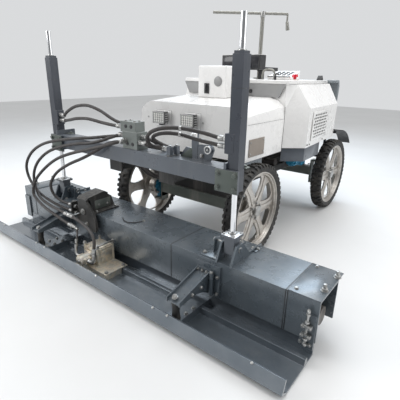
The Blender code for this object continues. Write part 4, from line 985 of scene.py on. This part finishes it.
def bracket_details():
    """Bulkhead adapters, adapter nut and the wire loop with its eyelet, round the centre bracket."""
    part = Piece("bracket_fittings")
    for z in (0.277, 0.323):
        part.along("x", (-0.4985, -1.082, z), -0.474, 0.0150, sides=6)
        part.along("x", (-0.5165, -1.082, z), -0.5123, 0.0190, sides=24)
    part.bolt((-0.340, -1.0985, 0.235), TO_HEAD, 0.008)
    part.along("y", (-0.372, -1.0985, 0.318), -1.1045, 0.021, sides=28, bevel=0.001)
    part.along("y", (-0.372, -1.1045, 0.318), -1.1140, 0.014, sides=6)
    bolts(part, [(x, y, 0.3163) for x in (-0.485, -0.305) for y in (-1.04, -0.88)], UP, 0.0055)
    bolts(part, [(-0.3345, -1.00, 0.350), (-0.3345, -0.93, 0.345)], OUT_RIGHT, 0.0055)
    part.along("z", (0.040, -0.930, 0.306), 0.309, 0.013, sides=20, bevel=0.0006)
    part.bolt((0.040, -0.930, 0.309), UP, 0.005, False)
    part.done("zinc", "head")
    made = Piece("bracket_cover").box((-0.3345, -1.030, 0.322), (-0.3315, -0.900, 0.385), 0.0008)
    made.done("olive", "head")
    wire = Piece("earth_strap")
    points = [(-0.104, -0.981, 0.3095), (-0.085, -0.996, 0.3100), (-0.050, -1.012, 0.3102),
              (-0.012, -1.012, 0.3102), (0.018, -0.990, 0.3102), (0.032, -0.960, 0.3100),
              (0.038, -0.938, 0.3105)]
    wire.tube(smooth_route(points, 0.008), 0.0028, 10)
    wire.done("rubber", "head")


def plate_details():
    """Bolts on the pan, and the nuts, pipe stub and covers of the exciter."""
    part = Piece("pan_fixings")
    lip_top = (0, -0.5, 0.86)
    bolts(part, [(x, -1.3275, 0.088) for x in (-1.10, -0.62, -0.515, 0.05, 0.52, 0.62, 1.10)], lip_top,
          0.0040, False)
    bolts(part, both([(x, y, 0.0522) for x in (0.580, 0.650) for y in (-1.22, -1.16)]), UP, 0.0055)
    bolts(part, [(x, y, 0.0505) for x in (-0.248, 0.018) for y in (-1.232, -1.100)], UP, 0.0065)
    for x in (-0.2305, -0.0965):
        for y in (-1.2010, -1.0840):
            part.nut((x, y, 0.167), UP, 0.0062, 1.0)
    part.along("y", (-0.0965, -1.2010, 0.1835), -1.0840, 0.0068, sides=18)
    part.along("y", (-0.0965, -1.2120, 0.1835), -1.2010, 0.0125, sides=6)
    part.along("y", (-0.0965, -1.0840, 0.1835), -1.0750, 0.0125, sides=6)
    part.box((-0.664, -1.303, 0.0522), (-0.572, -1.254, 0.0540), 0.0005)
    for dx, dz in ((-0.030, -0.032), (0.030, -0.032), (-0.030, 0.030), (0.030, 0.030)):
        part.bolt((-0.165 + dx, -1.2223, 0.095 + dz), TO_HEAD, 0.0048)
    part.along("y", (-0.165, -1.2953, 0.095), -1.2995, 0.014, sides=6)
    part.done("zinc", "plate")
    case = Piece("exciter_cover")
    case.box((-0.223, -1.192, 0.1552), (-0.104, -1.093, 0.1600), 0.0015)
    for x in (-0.214, -0.113):
        case.box((x - 0.004, -1.2085, 0.056), (x + 0.004, -1.2052, 0.150), 0.001)
    case.box((-0.0922, -1.180, 0.070), (-0.0885, -1.105, 0.140), 0.001)
    case.done("plated", "plate")


def isolator_details():
    """Rubber mounts, with the bolts and nuts round them, between the plate and the arms."""
    for side, tag in SIDES:
        x = side * 0.638
        y = -1.283
        part = Piece("mount_" + tag)
        profile = [(0.0, 0.0), (0.0, 0.022), (0.012, 0.0235), (0.030, 0.0200), (0.054, 0.0185),
                   (0.078, 0.0200),
                   (0.096, 0.0235), (0.1074, 0.022), (0.1074, 0.0)]
        part.spun(profile, (x, y, 0.0523), UP, 32)
        obj = part.done("rubber", None, replaces=("isolator_" + tag,))
        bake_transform(obj)
        arm = Piece("arm_fixings_" + tag)
        arm.bolt((x, -1.290, 0.184), (0, -0.2, 1), 0.0075)
        arm.along("z", (x, y, 0.160), 0.172, 0.012, sides=6)
        post = side * 0.703
        for z in (0.120, 0.247):
            low = z - 0.010 if z < 0.2 else z
            arm.along("z", (post, -1.0833, low), low + 0.010, 0.0105, sides=6)
        bolts(arm, [(x + dx, -1.0758, 0.236) for dx in (-0.028, 0.0, 0.028)], TO_HEAD, 0.005)
        bolts(arm, [(side * 0.6902, -1.15, 0.19), (side * 0.6902, -1.22, 0.182)], (side, 0, 0), 0.0052)
        arm.done("zinc", "head")


# Crossbeam and masts


def crossbeam_details():
    clamps = Piece("mast_clamps")
    bright = Piece("crossbeam_fixings")
    painted = Piece("clamp_bolts")
    for side in (-1, 1):
        low, high = sorted((side * 0.666, side * 0.794))
        clamps.box((low, -1.0295, 0.678), (high, -1.0268, 0.788), 0.0008)
        clamps.box((low, -0.957, 0.7906), (high, -0.917, 0.7950), 0.001)
        bolts(painted, [(side * x, -1.0295, z) for x in (0.682, 0.778) for z in (0.698, 0.768)], TO_HEAD,
              0.0065)
        bolts(painted, [(side * x, -0.937, 0.7950) for x in (0.684, 0.776)], UP, 0.006)
    painted.done("olive", "chassis")
    clamps.prism([(0.372, 0.7905), (0.455, 0.7905), (0.455, 0.843), (0.440, 0.843)], 1, -0.9475, -0.9345,
                 0.001)
    clamps.done("olive", "chassis")
    bolts(bright, [(0.520, -0.9475, 0.812), (0.520, -0.9475, 0.892)], TO_HEAD, 0.0055)
    bright.along("y", (0.568, -0.9325, 0.852), -0.9675, 0.0072, sides=6)
    for x, y in RETURNS:
        bright.along("z", (x, y, ELBOW_Z + 0.016), ELBOW_Z + 0.024, 0.0095, sides=6)
        bright.along("z", (x, y, 0.7903), 0.7960, 0.0155, sides=24)
    bolts(bright, [(-0.012, -0.993, 0.948), (0.062, -0.993, 0.948), (0.062, -0.955, 0.948),
                   (-0.012, -0.955, 0.948)], UP, 0.0045, False)
    for y, z in ((-0.950, 0.925), (-0.990, 0.912)):
        bright.along("x", (CAP_X - 0.006, y, z), CAP_X, 0.0128, sides=20)
    for place, onward in (((0.470, -1.060, 0.961), (0.392, -1.100, 0.957)),
                          ((0.450, -1.040, 0.926), (0.375, -1.070, 0.928))):
        axis = (Vector(onward) - Vector(place)).normalized() * 0.006
        bright.rod(Vector(place) - axis, Vector(place) + axis, 0.0128, sides=20)
    bright.box((0.462, -1.052, 0.914), (0.476, -0.9475, 0.918), 0.001)
    for y, z in ((-0.968, 0.862), (-0.990, 0.832)):
        bright.along("x", (0.0947, y, z), 0.0990, 0.0165, sides=6)
    bright.along("y", (-0.002, -1.0105, 0.835), -1.0160, 0.0165, sides=6)
    bright.done("zinc", "chassis")
    wheel = Piece("pulley_ring")
    profile = [(0.0, 0.0155), (0.0, 0.0205), (0.004, 0.0212), (0.006, 0.0180), (0.004, 0.0155)]
    wheel.spun(profile, (0.568, -0.9622, 0.852), TO_HEAD, 36)
    wheel.box((0.455, -0.9625, 0.893), (0.490, -0.9475, 0.925), 0.002)
    wheel.done("white", "chassis")
    holes = Piece("manifold_plugs")
    for x, z in ((0.002, 0.920), (0.048, 0.920), (0.012, 0.820), (0.058, 0.820)):
        y = -1.0092 if z > 0.9 else -1.0112
        holes.along("y", (x, y, z), y - 0.0012, 0.0115, sides=24, bevel=0.0003)
        holes.along("y", (x, y - 0.0012, z), y - 0.0022, 0.0075, sides=6, bevel=0.0003)
    holes.done("plastic", "chassis")


def mast_details():
    part = Piece("mast_fixings")
    bands = Piece("mast_bands")
    for side in (-1, 1):
        x = side * MAST_X
        bands.box((x - 0.0296, -1.0146, 1.158), (x + 0.0296, -0.9554, 1.1598), 0)
        part.along("z", (x, MAST_Y, 1.3118), 1.3185, 0.0200, 0.0180, 28, 0.001)
        for z in (0.892, 0.927):
            face = side * PORT_X
            part.along("x", (face, PORT_Y, z), face + side * 0.003, 0.0150, sides=24)
    part.done("zinc", "chassis")
    bands.done("black", "chassis")


# Bodywork


def lamp_details():
    """Square lamps: frame, side ribs, lens, reflector cells, and the panel behind with its seal."""
    for x, tag in ((-0.235, "left"), (0.035, "right")):
        frame_piece = Piece("lamp_frame_" + tag)
        front = -0.4972
        for low, high in (((x - 0.058, front - 0.004, 0.868), (x + 0.058, front, 0.878)),
                          ((x - 0.058, front - 0.004, 0.942), (x + 0.058, front, 0.952)),
                          ((x - 0.058, front - 0.004, 0.868), (x - 0.048, front, 0.952)),
                          ((x + 0.048, front - 0.004, 0.868), (x + 0.058, front, 0.952))):
            frame_piece.box(low, high, 0.0015)
        for row in range(6):
            z = 0.8705 + row * 0.0158
            frame_piece.box((x + 0.0582, -0.490, z), (x + 0.0610, -0.462, z + 0.008), 0.001)
        frame_piece.done("plate_grey", "chassis")
        glass = Piece("lamp_lens_" + tag)
        glass.box((x - 0.0482, front - 0.0025, 0.8778), (x + 0.0482, front - 0.0005, 0.9422), 0.0005)
        glass.done("lens", "chassis")
        cells = Piece("lamp_cells_" + tag)
        for i in range(5):
            for j in range(4):
                centre = (x - 0.0384 + 0.0192 * i, front - 0.0025, 0.8860 + 0.0160 * j)
                ahead = (centre[0], centre[1] - 0.0012, centre[2])
                cells.rod(centre, ahead, 0.0078, 0.0066, 14, 0.0003)
        cells.done("screen_white", "chassis")
        panel = Piece("lamp_panel_" + tag)
        panel.box((x - 0.0745, -0.4410, 0.8410), (x + 0.0745, COWL_FACE_Y, 0.9590), 0.0008)
        panel.done("white", "chassis")
        rim_line = Piece("lamp_seal_" + tag)
        rim_line.box((x - 0.0758, -0.4393, 0.8398), (x + 0.0758, COWL_FACE_Y, 0.9602), 0.0002)
        rim_line.done("plastic", "chassis")


def cowl_details():
    seams = Piece("cowl_seams")
    for side in (-1, 1):
        low, high = sorted((side * 0.4776, side * 0.4790))
        seams.box((low, 0.0835, 0.700), (high, 0.0850, 1.000), 0)
        seams.box((low, -0.430, 0.9150), (high, 0.083, 0.9166), 0)
    seams.box((0.4810, -0.4005, 0.7045), (0.4817, -0.1995, 0.7060), 0)
    seams.done("black", "chassis")
    screws = Piece("body_screws")
    bolts(screws, [(0.4813, y, z) for y,
                   z in ((-0.385, 0.800), (-0.215, 0.806), (-0.385, 0.725), (-0.215, 0.725))],
          OUT_RIGHT, 0.0030)
    bolts(screws, [(0.6165, 0.225, 0.722), (0.6135, 0.275, 0.720), (0.592, 0.60, 0.720)], OUT_RIGHT, 0.0032)
    bolts(screws, [(x, COWL_FACE_Y, z) for x in (-0.40, -0.33, 0.13, 0.40) for z in (0.70, 0.90)], TO_HEAD,
          0.0032)
    screws.done("zinc", "chassis")
    catch = Piece("body_catch")
    catch.along("y", (0.186, 0.0728, 1.100), 0.0640, 0.0150, 0.0135, 24, 0.0015)
    catch.along("y", (0.186, 0.0640, 1.100), 0.0560, 0.0090, 0.0090, 20, 0.0015)
    catch.done("plastic", "chassis")


def wall_piece(part, path, thickness, low, high):
    """An upright sheet along a path in plan, thickened to the left of its direction."""
    inside = []
    for i, (x, y) in enumerate(path):
        before = path[max(i - 1, 0)]
        after = path[min(i + 1, len(path) - 1)]
        run = Vector((after[0] - before[0], after[1] - before[1])).normalized()
        inside.append((x - run.y * thickness, y + run.x * thickness))
    part.prism(path + inside[::-1], 2, low, high)


def grille(side, tag):
    """Panel of slanted slots in brick rows, over the side opening of the rear body, with a black sheet
    behind it as painted shade.
    """
    near = Vector((side * 0.6131, 0.285, 0.0))
    far = Vector((side * 0.5863, 0.675, 0.0))
    run = (far - near).normalized()
    up = Vector(UP)
    out = run.cross(up) * (1 if side > 0 else -1)
    across = run if side > 0 else -run
    start = (near if side > 0 else far) + out * 0.0042 + up * 0.742
    matrix = Matrix.Translation(start) @ Matrix((across, up, out)).transposed().to_4x4()
    width = (far - near).length
    tall = 0.219
    outlines = [rounded(0, width, 0, tall, 0.012)]
    rows = 8
    columns = 8
    pitch = (width - 0.036) / columns
    lift = (tall - 0.030) / rows
    for row in range(rows):
        offset = 0.5 * pitch * (row % 2)
        for column in range(columns - row % 2):
            x = 0.022 + offset + column * pitch
            z = 0.019 + row * lift
            lean = 0.006
            slot = [(x, z), (x + pitch * 0.72, z), (x + pitch * 0.72 + lean, z + lift * 0.56),
                    (x + lean, z + lift * 0.56)]
            outlines.append(slot)
    Piece("side_grille_" + tag).sheet(outlines, 0.0045, matrix, 0.0007).done("white", "chassis")
    # Black sheet behind the slots: painted shade for the dark inside of the side opening.
    back = Piece("grille_painted_shade_" + tag)
    deep = Matrix.Translation(-out * 0.018) @ matrix
    back.sheet([rounded(0.012, width - 0.012, 0.016, tall - 0.016, 0.006)], 0.002, deep, 0.0004)
    back.done("black", "chassis")


def body_details():
    skirt = Piece("body_skirt")
    for side in (-1, 1):
        path = [(side * 0.470, 0.095), (side * 0.606, 0.212), (side * 0.588, 0.560)]
        if side < 0:
            path = path[::-1]
        wall_piece(skirt, path, 0.006, 0.595, 0.698)
    skirt.done("beam", "chassis")
    for side, tag in SIDES:
        grille(side, tag)
    motor = Piece("drive_motor")
    motor.along("y", (0.380, 0.500, 0.520), 0.700, 0.054, sides=36, bevel=0.004)
    motor.along("y", (0.380, 0.480, 0.520), 0.505, 0.040, sides=36, bevel=0.003)
    motor.box((0.322, 0.600, 0.464), (0.436, 0.690, 0.500), 0.006)
    for k in range(5):
        motor.along("y", (0.380, 0.540 + 0.028 * k, 0.520), 0.550 + 0.028 * k, 0.0575, sides=36)
    motor.box((0.262, 0.560, 0.484), (0.345, 0.640, 0.540), 0.004)
    motor.done("blue", "chassis")
    seams = Piece("rear_seams")
    for side in (-1, 1):
        low, high = sorted((side * 0.4895, side * 0.4905))
        seams.box((low, 0.110, 1.1560), (high, 0.890, 1.1572), 0)
    seams.box((-0.300, 1.1850, 0.905), (0.300, 1.1856, 0.9075), 0)
    seams.box((-0.300, 1.1850, 1.120), (0.300, 1.1856, 1.1225), 0)
    for k in range(9):
        seams.box((-0.240, 1.1848, 0.930 + 0.020 * k), (0.240, 1.1856, 0.938 + 0.020 * k), 0)
    seams.done("black", "chassis")
    rear = Piece("tail_fixings")
    bolts(rear, [(x, 1.1852, z) for x in (-0.42, 0.42) for z in (0.88, 1.14)], (0, 1, 0), 0.005)
    rear.done("zinc", "chassis")


def deck_details():
    black = Piece("deck_controls")
    black.along("z", (0.060, -0.020, 1.2753), 1.2770, 0.012, sides=20, bevel=0.0004)
    for x, y in ((0.060, 0.135), (0.110, 0.150)):
        black.along("z", (x, y, 1.1835), 1.1950, 0.014, 0.011, 20, 0.001)
        black.rod((x, y, 1.1930), (x - 0.012, y + 0.020, 1.245), 0.0042, sides=12)
        black.rod((x - 0.013, y + 0.021, 1.243), (x - 0.017, y + 0.028, 1.264), 0.0088, 0.0072, 20, 0.002)
    black.box((0.165, 0.3560, 1.204), (0.365, 0.3600, 1.2100), 0.001)
    black.along("z", (0.340, 0.155, DECK_Z), 1.2080, 0.009, sides=20)
    black.tube([Vector(p) for p in ((0.340, 0.155, 1.205), (0.345, 0.152, 1.222), (0.358, 0.146, 1.230),
                                    (0.370, 0.140, 1.222))], 0.0055, 12)
    black.prism([(0.80, DECK_Z), (0.86, DECK_Z), (0.83, 1.222)], 0, 0.405, 0.445, 0.002)
    black.done("plastic", "chassis")
    pipe = Piece("deck_handle")
    bend = [(0.150, 0.300, DECK_Z), (0.150, 0.300, 1.215), (0.156, 0.300, 1.240), (0.176, 0.300, 1.256),
            (0.205, 0.300, 1.260), (0.235, 0.300, 1.256), (0.253, 0.300, 1.240), (0.258, 0.300, 1.215),
            (0.258, 0.300, DECK_Z)]
    pipe.tube(smooth_route(bend, 0.006), 0.0080, 16)
    for x in (0.150, 0.258):
        pipe.along("z", (x, 0.300, DECK_Z), 1.1880, 0.016, sides=24)
    pipe.done("pole", "chassis")
    console = Piece("console_trim")
    console.along("y", (0.020, -0.1255, 1.165), -0.1290, 0.036, sides=36, bevel=0.0012)
    console.along("y", (0.020, -0.1290, 1.165), -0.1315, 0.029, sides=36, bevel=0.0008)
    console.done("grey", "chassis")
    clip = Piece("console_clip")
    clip.box((-0.105, -0.1310, 1.075), (-0.060, -0.1252, 1.150), 0.002)
    clip.along("y", (-0.083, -0.1310, 1.140), -0.1385, 0.010, sides=20)
    clip.tube([Vector(p) for p in ((-0.083, -0.136, 1.140), (-0.083, -0.141, 1.110),
                                   (-0.083, -0.137, 1.083))],
              0.0045, 10)
    clip.done("plastic", "chassis")
    made = Piece("display_face").box((-0.236, 0.2985, 1.268), (0.106, 0.3002, 1.357), 0.0006)
    made.done("screen", "chassis")
    edge = Piece("display_edge")
    edge.box((-0.062, 0.2970, 1.256), (-0.054, 0.3003, 1.369), 0.0006)
    edge.box((-0.250, 0.2975, 1.3695), (0.120, 0.3990, 1.3712), 0.0005)
    edge.done("white", "chassis")
    keys = Piece("control_keys")
    slope = math.atan2(0.045, 0.18)
    place = Matrix.Translation((0.265, 0.36, 1.2088)) @ Matrix.Rotation(slope, 4, "X")
    for i in range(4):
        for j in range(3):
            x = -0.070 + 0.040 * i
            y = 0.035 + 0.042 * j
            keys.box((x, y, 0.0), (x + 0.022, y + 0.024, 0.0035), 0.001, place)
    keys.done("plastic", "chassis")
    collars = Piece("cable_mast_collars")
    collars.along("z", (POLE_X, POLE_Y, 1.1835), 1.1900, 0.0460, sides=36, bevel=0.001)
    collars.along("z", (POLE_X, POLE_Y, 1.255), 1.300, 0.0195, sides=28, bevel=0.001)
    collars.along("z", (POLE_X, POLE_Y, 1.675), 1.7195, 0.0200, sides=28, bevel=0.001)
    collars.nut((-0.0105, POLE_Y, 1.278), OUT_RIGHT, 0.0045, 1.5)
    for i in range(6):
        angle = math.tau * i / 6
        collars.bolt((POLE_X + 0.036 * math.cos(angle), POLE_Y + 0.036 * math.sin(angle), 1.190), UP,
                     0.0035,
                     False)
    collars.done("zinc", "chassis")
    end = Vector((POLE_X + 0.210 * math.cos(math.radians(40)), POLE_Y + 0.210 * math.sin(math.radians(40)),
                  1.705))
    drop = Piece("cable_mast_hook")
    drop.rod(end, end - Vector((0, 0, 0.085)), 0.0075, sides=16)
    drop.rod(end - Vector((0, 0, 0.060)), end - Vector((-0.012, 0, 0.125)), 0.012, 0.016, 16, 0.002)
    drop.done("pole", "chassis")
    button = Piece("e_stop_collar")
    button.spun([(0.0, 0.0225), (0.0, 0.0290), (0.0025, 0.0290), (0.0025, 0.0225)], (0.430, 0.300, 1.1834),
                UP, 36)
    button.done("plated", "chassis")


def axle_details():
    part = Piece("axle_fixings")
    black = Piece("axle_box")
    for y, x_end in ((-0.335, 0.340), (1.015, 0.380)):
        for side in (-1, 1):
            for dy in (-0.030, 0.030):
                part.bolt((side * (x_end - 0.02), y + dy, 0.395), UP, 0.006)
    for x in (-0.300, 0.225):
        black.box((x, -0.375, 0.4803), (x + 0.075, -0.300, 0.560), 0.004)
    part.done("zinc", "chassis")
    black.done("plastic", "chassis")
    rods = Piece("lift_arm_pins")
    for side in (-1, 1):
        for y in (-0.870, -0.380):
            rods.along("x", (side * 0.190, y, 0.632), side * 0.270, 0.014, sides=24)
            rods.along("x", (side * 0.262, y, 0.632), side * 0.272, 0.020, sides=6)
    rods.done("black", "chassis", "dark_paint")


# Carried-over CAD nodes

# Each finish and slot, with the nodes that take the finish and the rounding of their edges.
DRESSED = {
    ("black", "dark_paint"): {"chassis_frame": 0.003, "centre_bracket": 0.003},
    ("olive", "dark_paint"): {"front_axle": 0.004, "rear_axle": 0.004},
    ("white", "white_paint"): {"front_cowl": 0.020, "rear_body": 0.006, "deck_lid": 0.006,
                               "console": 0.010, "control_panel": 0.006},
    ("grey", "grey_paint"): {"trim_band": 0.002},
    ("plastic", "black_plastic"): {"display_box": 0.006, "armrest": 0.008, "mudguard_left": 0.002,
                                   "mudguard_right": 0.002, "work_light_left": 0.003,
                                   "work_light_right": 0.003, "drive_lever": 0.002},
    ("pole", "bare_steel"): {"cable_mast": 0.002},
    ("tail", "grey_paint"): {"tail_cover": 0.008},
    ("oxide", "bare_steel"): {"engine_with_pump": 0.006, "auger_motor": 0.003},
    ("dark", "dark_paint"): {"oil_tank": 0.006, "head_centre": 0.003, "head_wing_left": 0.003,
                             "head_wing_right": 0.003, "damper_arm_left": 0.0015,
                             "damper_arm_right": 0.0015},
    ("beige", "beige"): {"side_hatch": 0.001},
    ("beam", "dark_paint"): {"crossbeam": 0.003},
    ("mast", "mast_paint"): {"mast_tube_left": 0.004, "mast_tube_right": 0.004},
    ("manifold", "grey_paint"): {"hose_manifold": 0.004},
    ("chrome", "chrome"): {"lift_rod_left": 0.001, "lift_rod_right": 0.001},
    ("beam", "bare_steel"): {"lift_foot_left": 0.0015, "lift_foot_right": 0.0015},
    ("steel", "bare_steel"): {"strike_blade": 0.001, "auger": 0.001},
    ("pan", "dark_paint"): {"vibrating_plate": 0.0015},
    ("plated", "yellow_zinc"): {"exciter_case": 0.002},
    ("plated", "bare_steel"): {"exciter_motor": 0.003},
    ("red", "red_plastic"): {"e_stop_button": 0.002},
}


def carried_over():
    for (look, slot), nodes in DRESSED.items():
        for node, bevel in nodes.items():
            dress(node, look, bevel)


# Stage


def area_light(name, place, aim, size, power, colour=(1, 1, 1)):
    data = bpy.data.lights.new(name, "AREA")
    data.shape = "RECTANGLE"
    data.size, data.size_y = size
    data.energy = power
    data.color = colour
    made = bpy.data.objects.new(name, data)
    made.location = place
    made.rotation_mode = "QUATERNION"
    made.rotation_quaternion = (Vector(aim) - Vector(place)).to_track_quat("-Z", "Y")
    bpy.context.scene.collection.objects.link(made)


def studio_walls(tree):
    """Pale walls, with a darker one on the side from which the machine is seen."""
    place = tree.nodes.new("ShaderNodeTexCoord")
    facing = tree.nodes.new("ShaderNodeVectorMath")
    facing.operation = "DOT_PRODUCT"
    facing.inputs[1].default_value = (0.615, -0.788, 0.0)
    tree.links.new(place.outputs["Generated"], facing.inputs[0])
    fade = tree.nodes.new("ShaderNodeMapRange")
    fade.interpolation_type = "SMOOTHSTEP"
    fade.inputs["From Min"].default_value = 0.35
    fade.inputs["From Max"].default_value = 0.98
    fade.inputs["To Min"].default_value = 0.72
    fade.inputs["To Max"].default_value = 0.22
    tree.links.new(facing.outputs["Value"], fade.inputs["Value"])
    background = tree.nodes["Background"]
    background.inputs["Color"].default_value = (0.97, 0.985, 1.0, 1)
    tree.links.new(fade.outputs["Result"], background.inputs["Strength"])


def stage():
    floor = Piece("floor")
    floor.box((-14, -14, -0.05), (14, 14, -0.0005), 0.0)
    floor_mesh = bpy.data.meshes.new("floor")
    floor.bm.to_mesh(floor_mesh)
    floor.bm.free()
    floor_mesh.materials.append(ground("pale_floor"))
    floor_obj = bpy.data.objects.new("floor", floor_mesh)
    bpy.context.scene.collection.objects.link(floor_obj)
    world = bpy.data.worlds.new("studio")
    world.use_nodes = True
    studio_walls(world.node_tree)
    bpy.context.scene.world = world
    bpy.context.scene.view_settings.view_transform = "Standard"
    area_light("overhead", (0.3, 0.2, 4.2), (0, 0, 0.5), (4.5, 3.0), 110)
    area_light("front_left", (-3.2, -3.6, 2.8), (0, -0.6, 0.5), (3.0, 2.4), 95)
    area_light("far_sheen", (-1.9, 3.3, 4.5), (0.6, -1.2, 0.1), (4.2, 2.4), 150, (0.72, 0.86, 1.0))
    area_light("right", (4.2, 0.6, 2.4), (0.2, -0.2, 0.6), (2.2, 2.6), 45)


camera()
all_hoses()
wheels()
carried_over()
head_details()
lift_details()
bracket_details()
plate_details()
isolator_details()
crossbeam_details()
mast_details()
lamp_details()
cowl_details()
body_details()
deck_details()
axle_details()
stage()
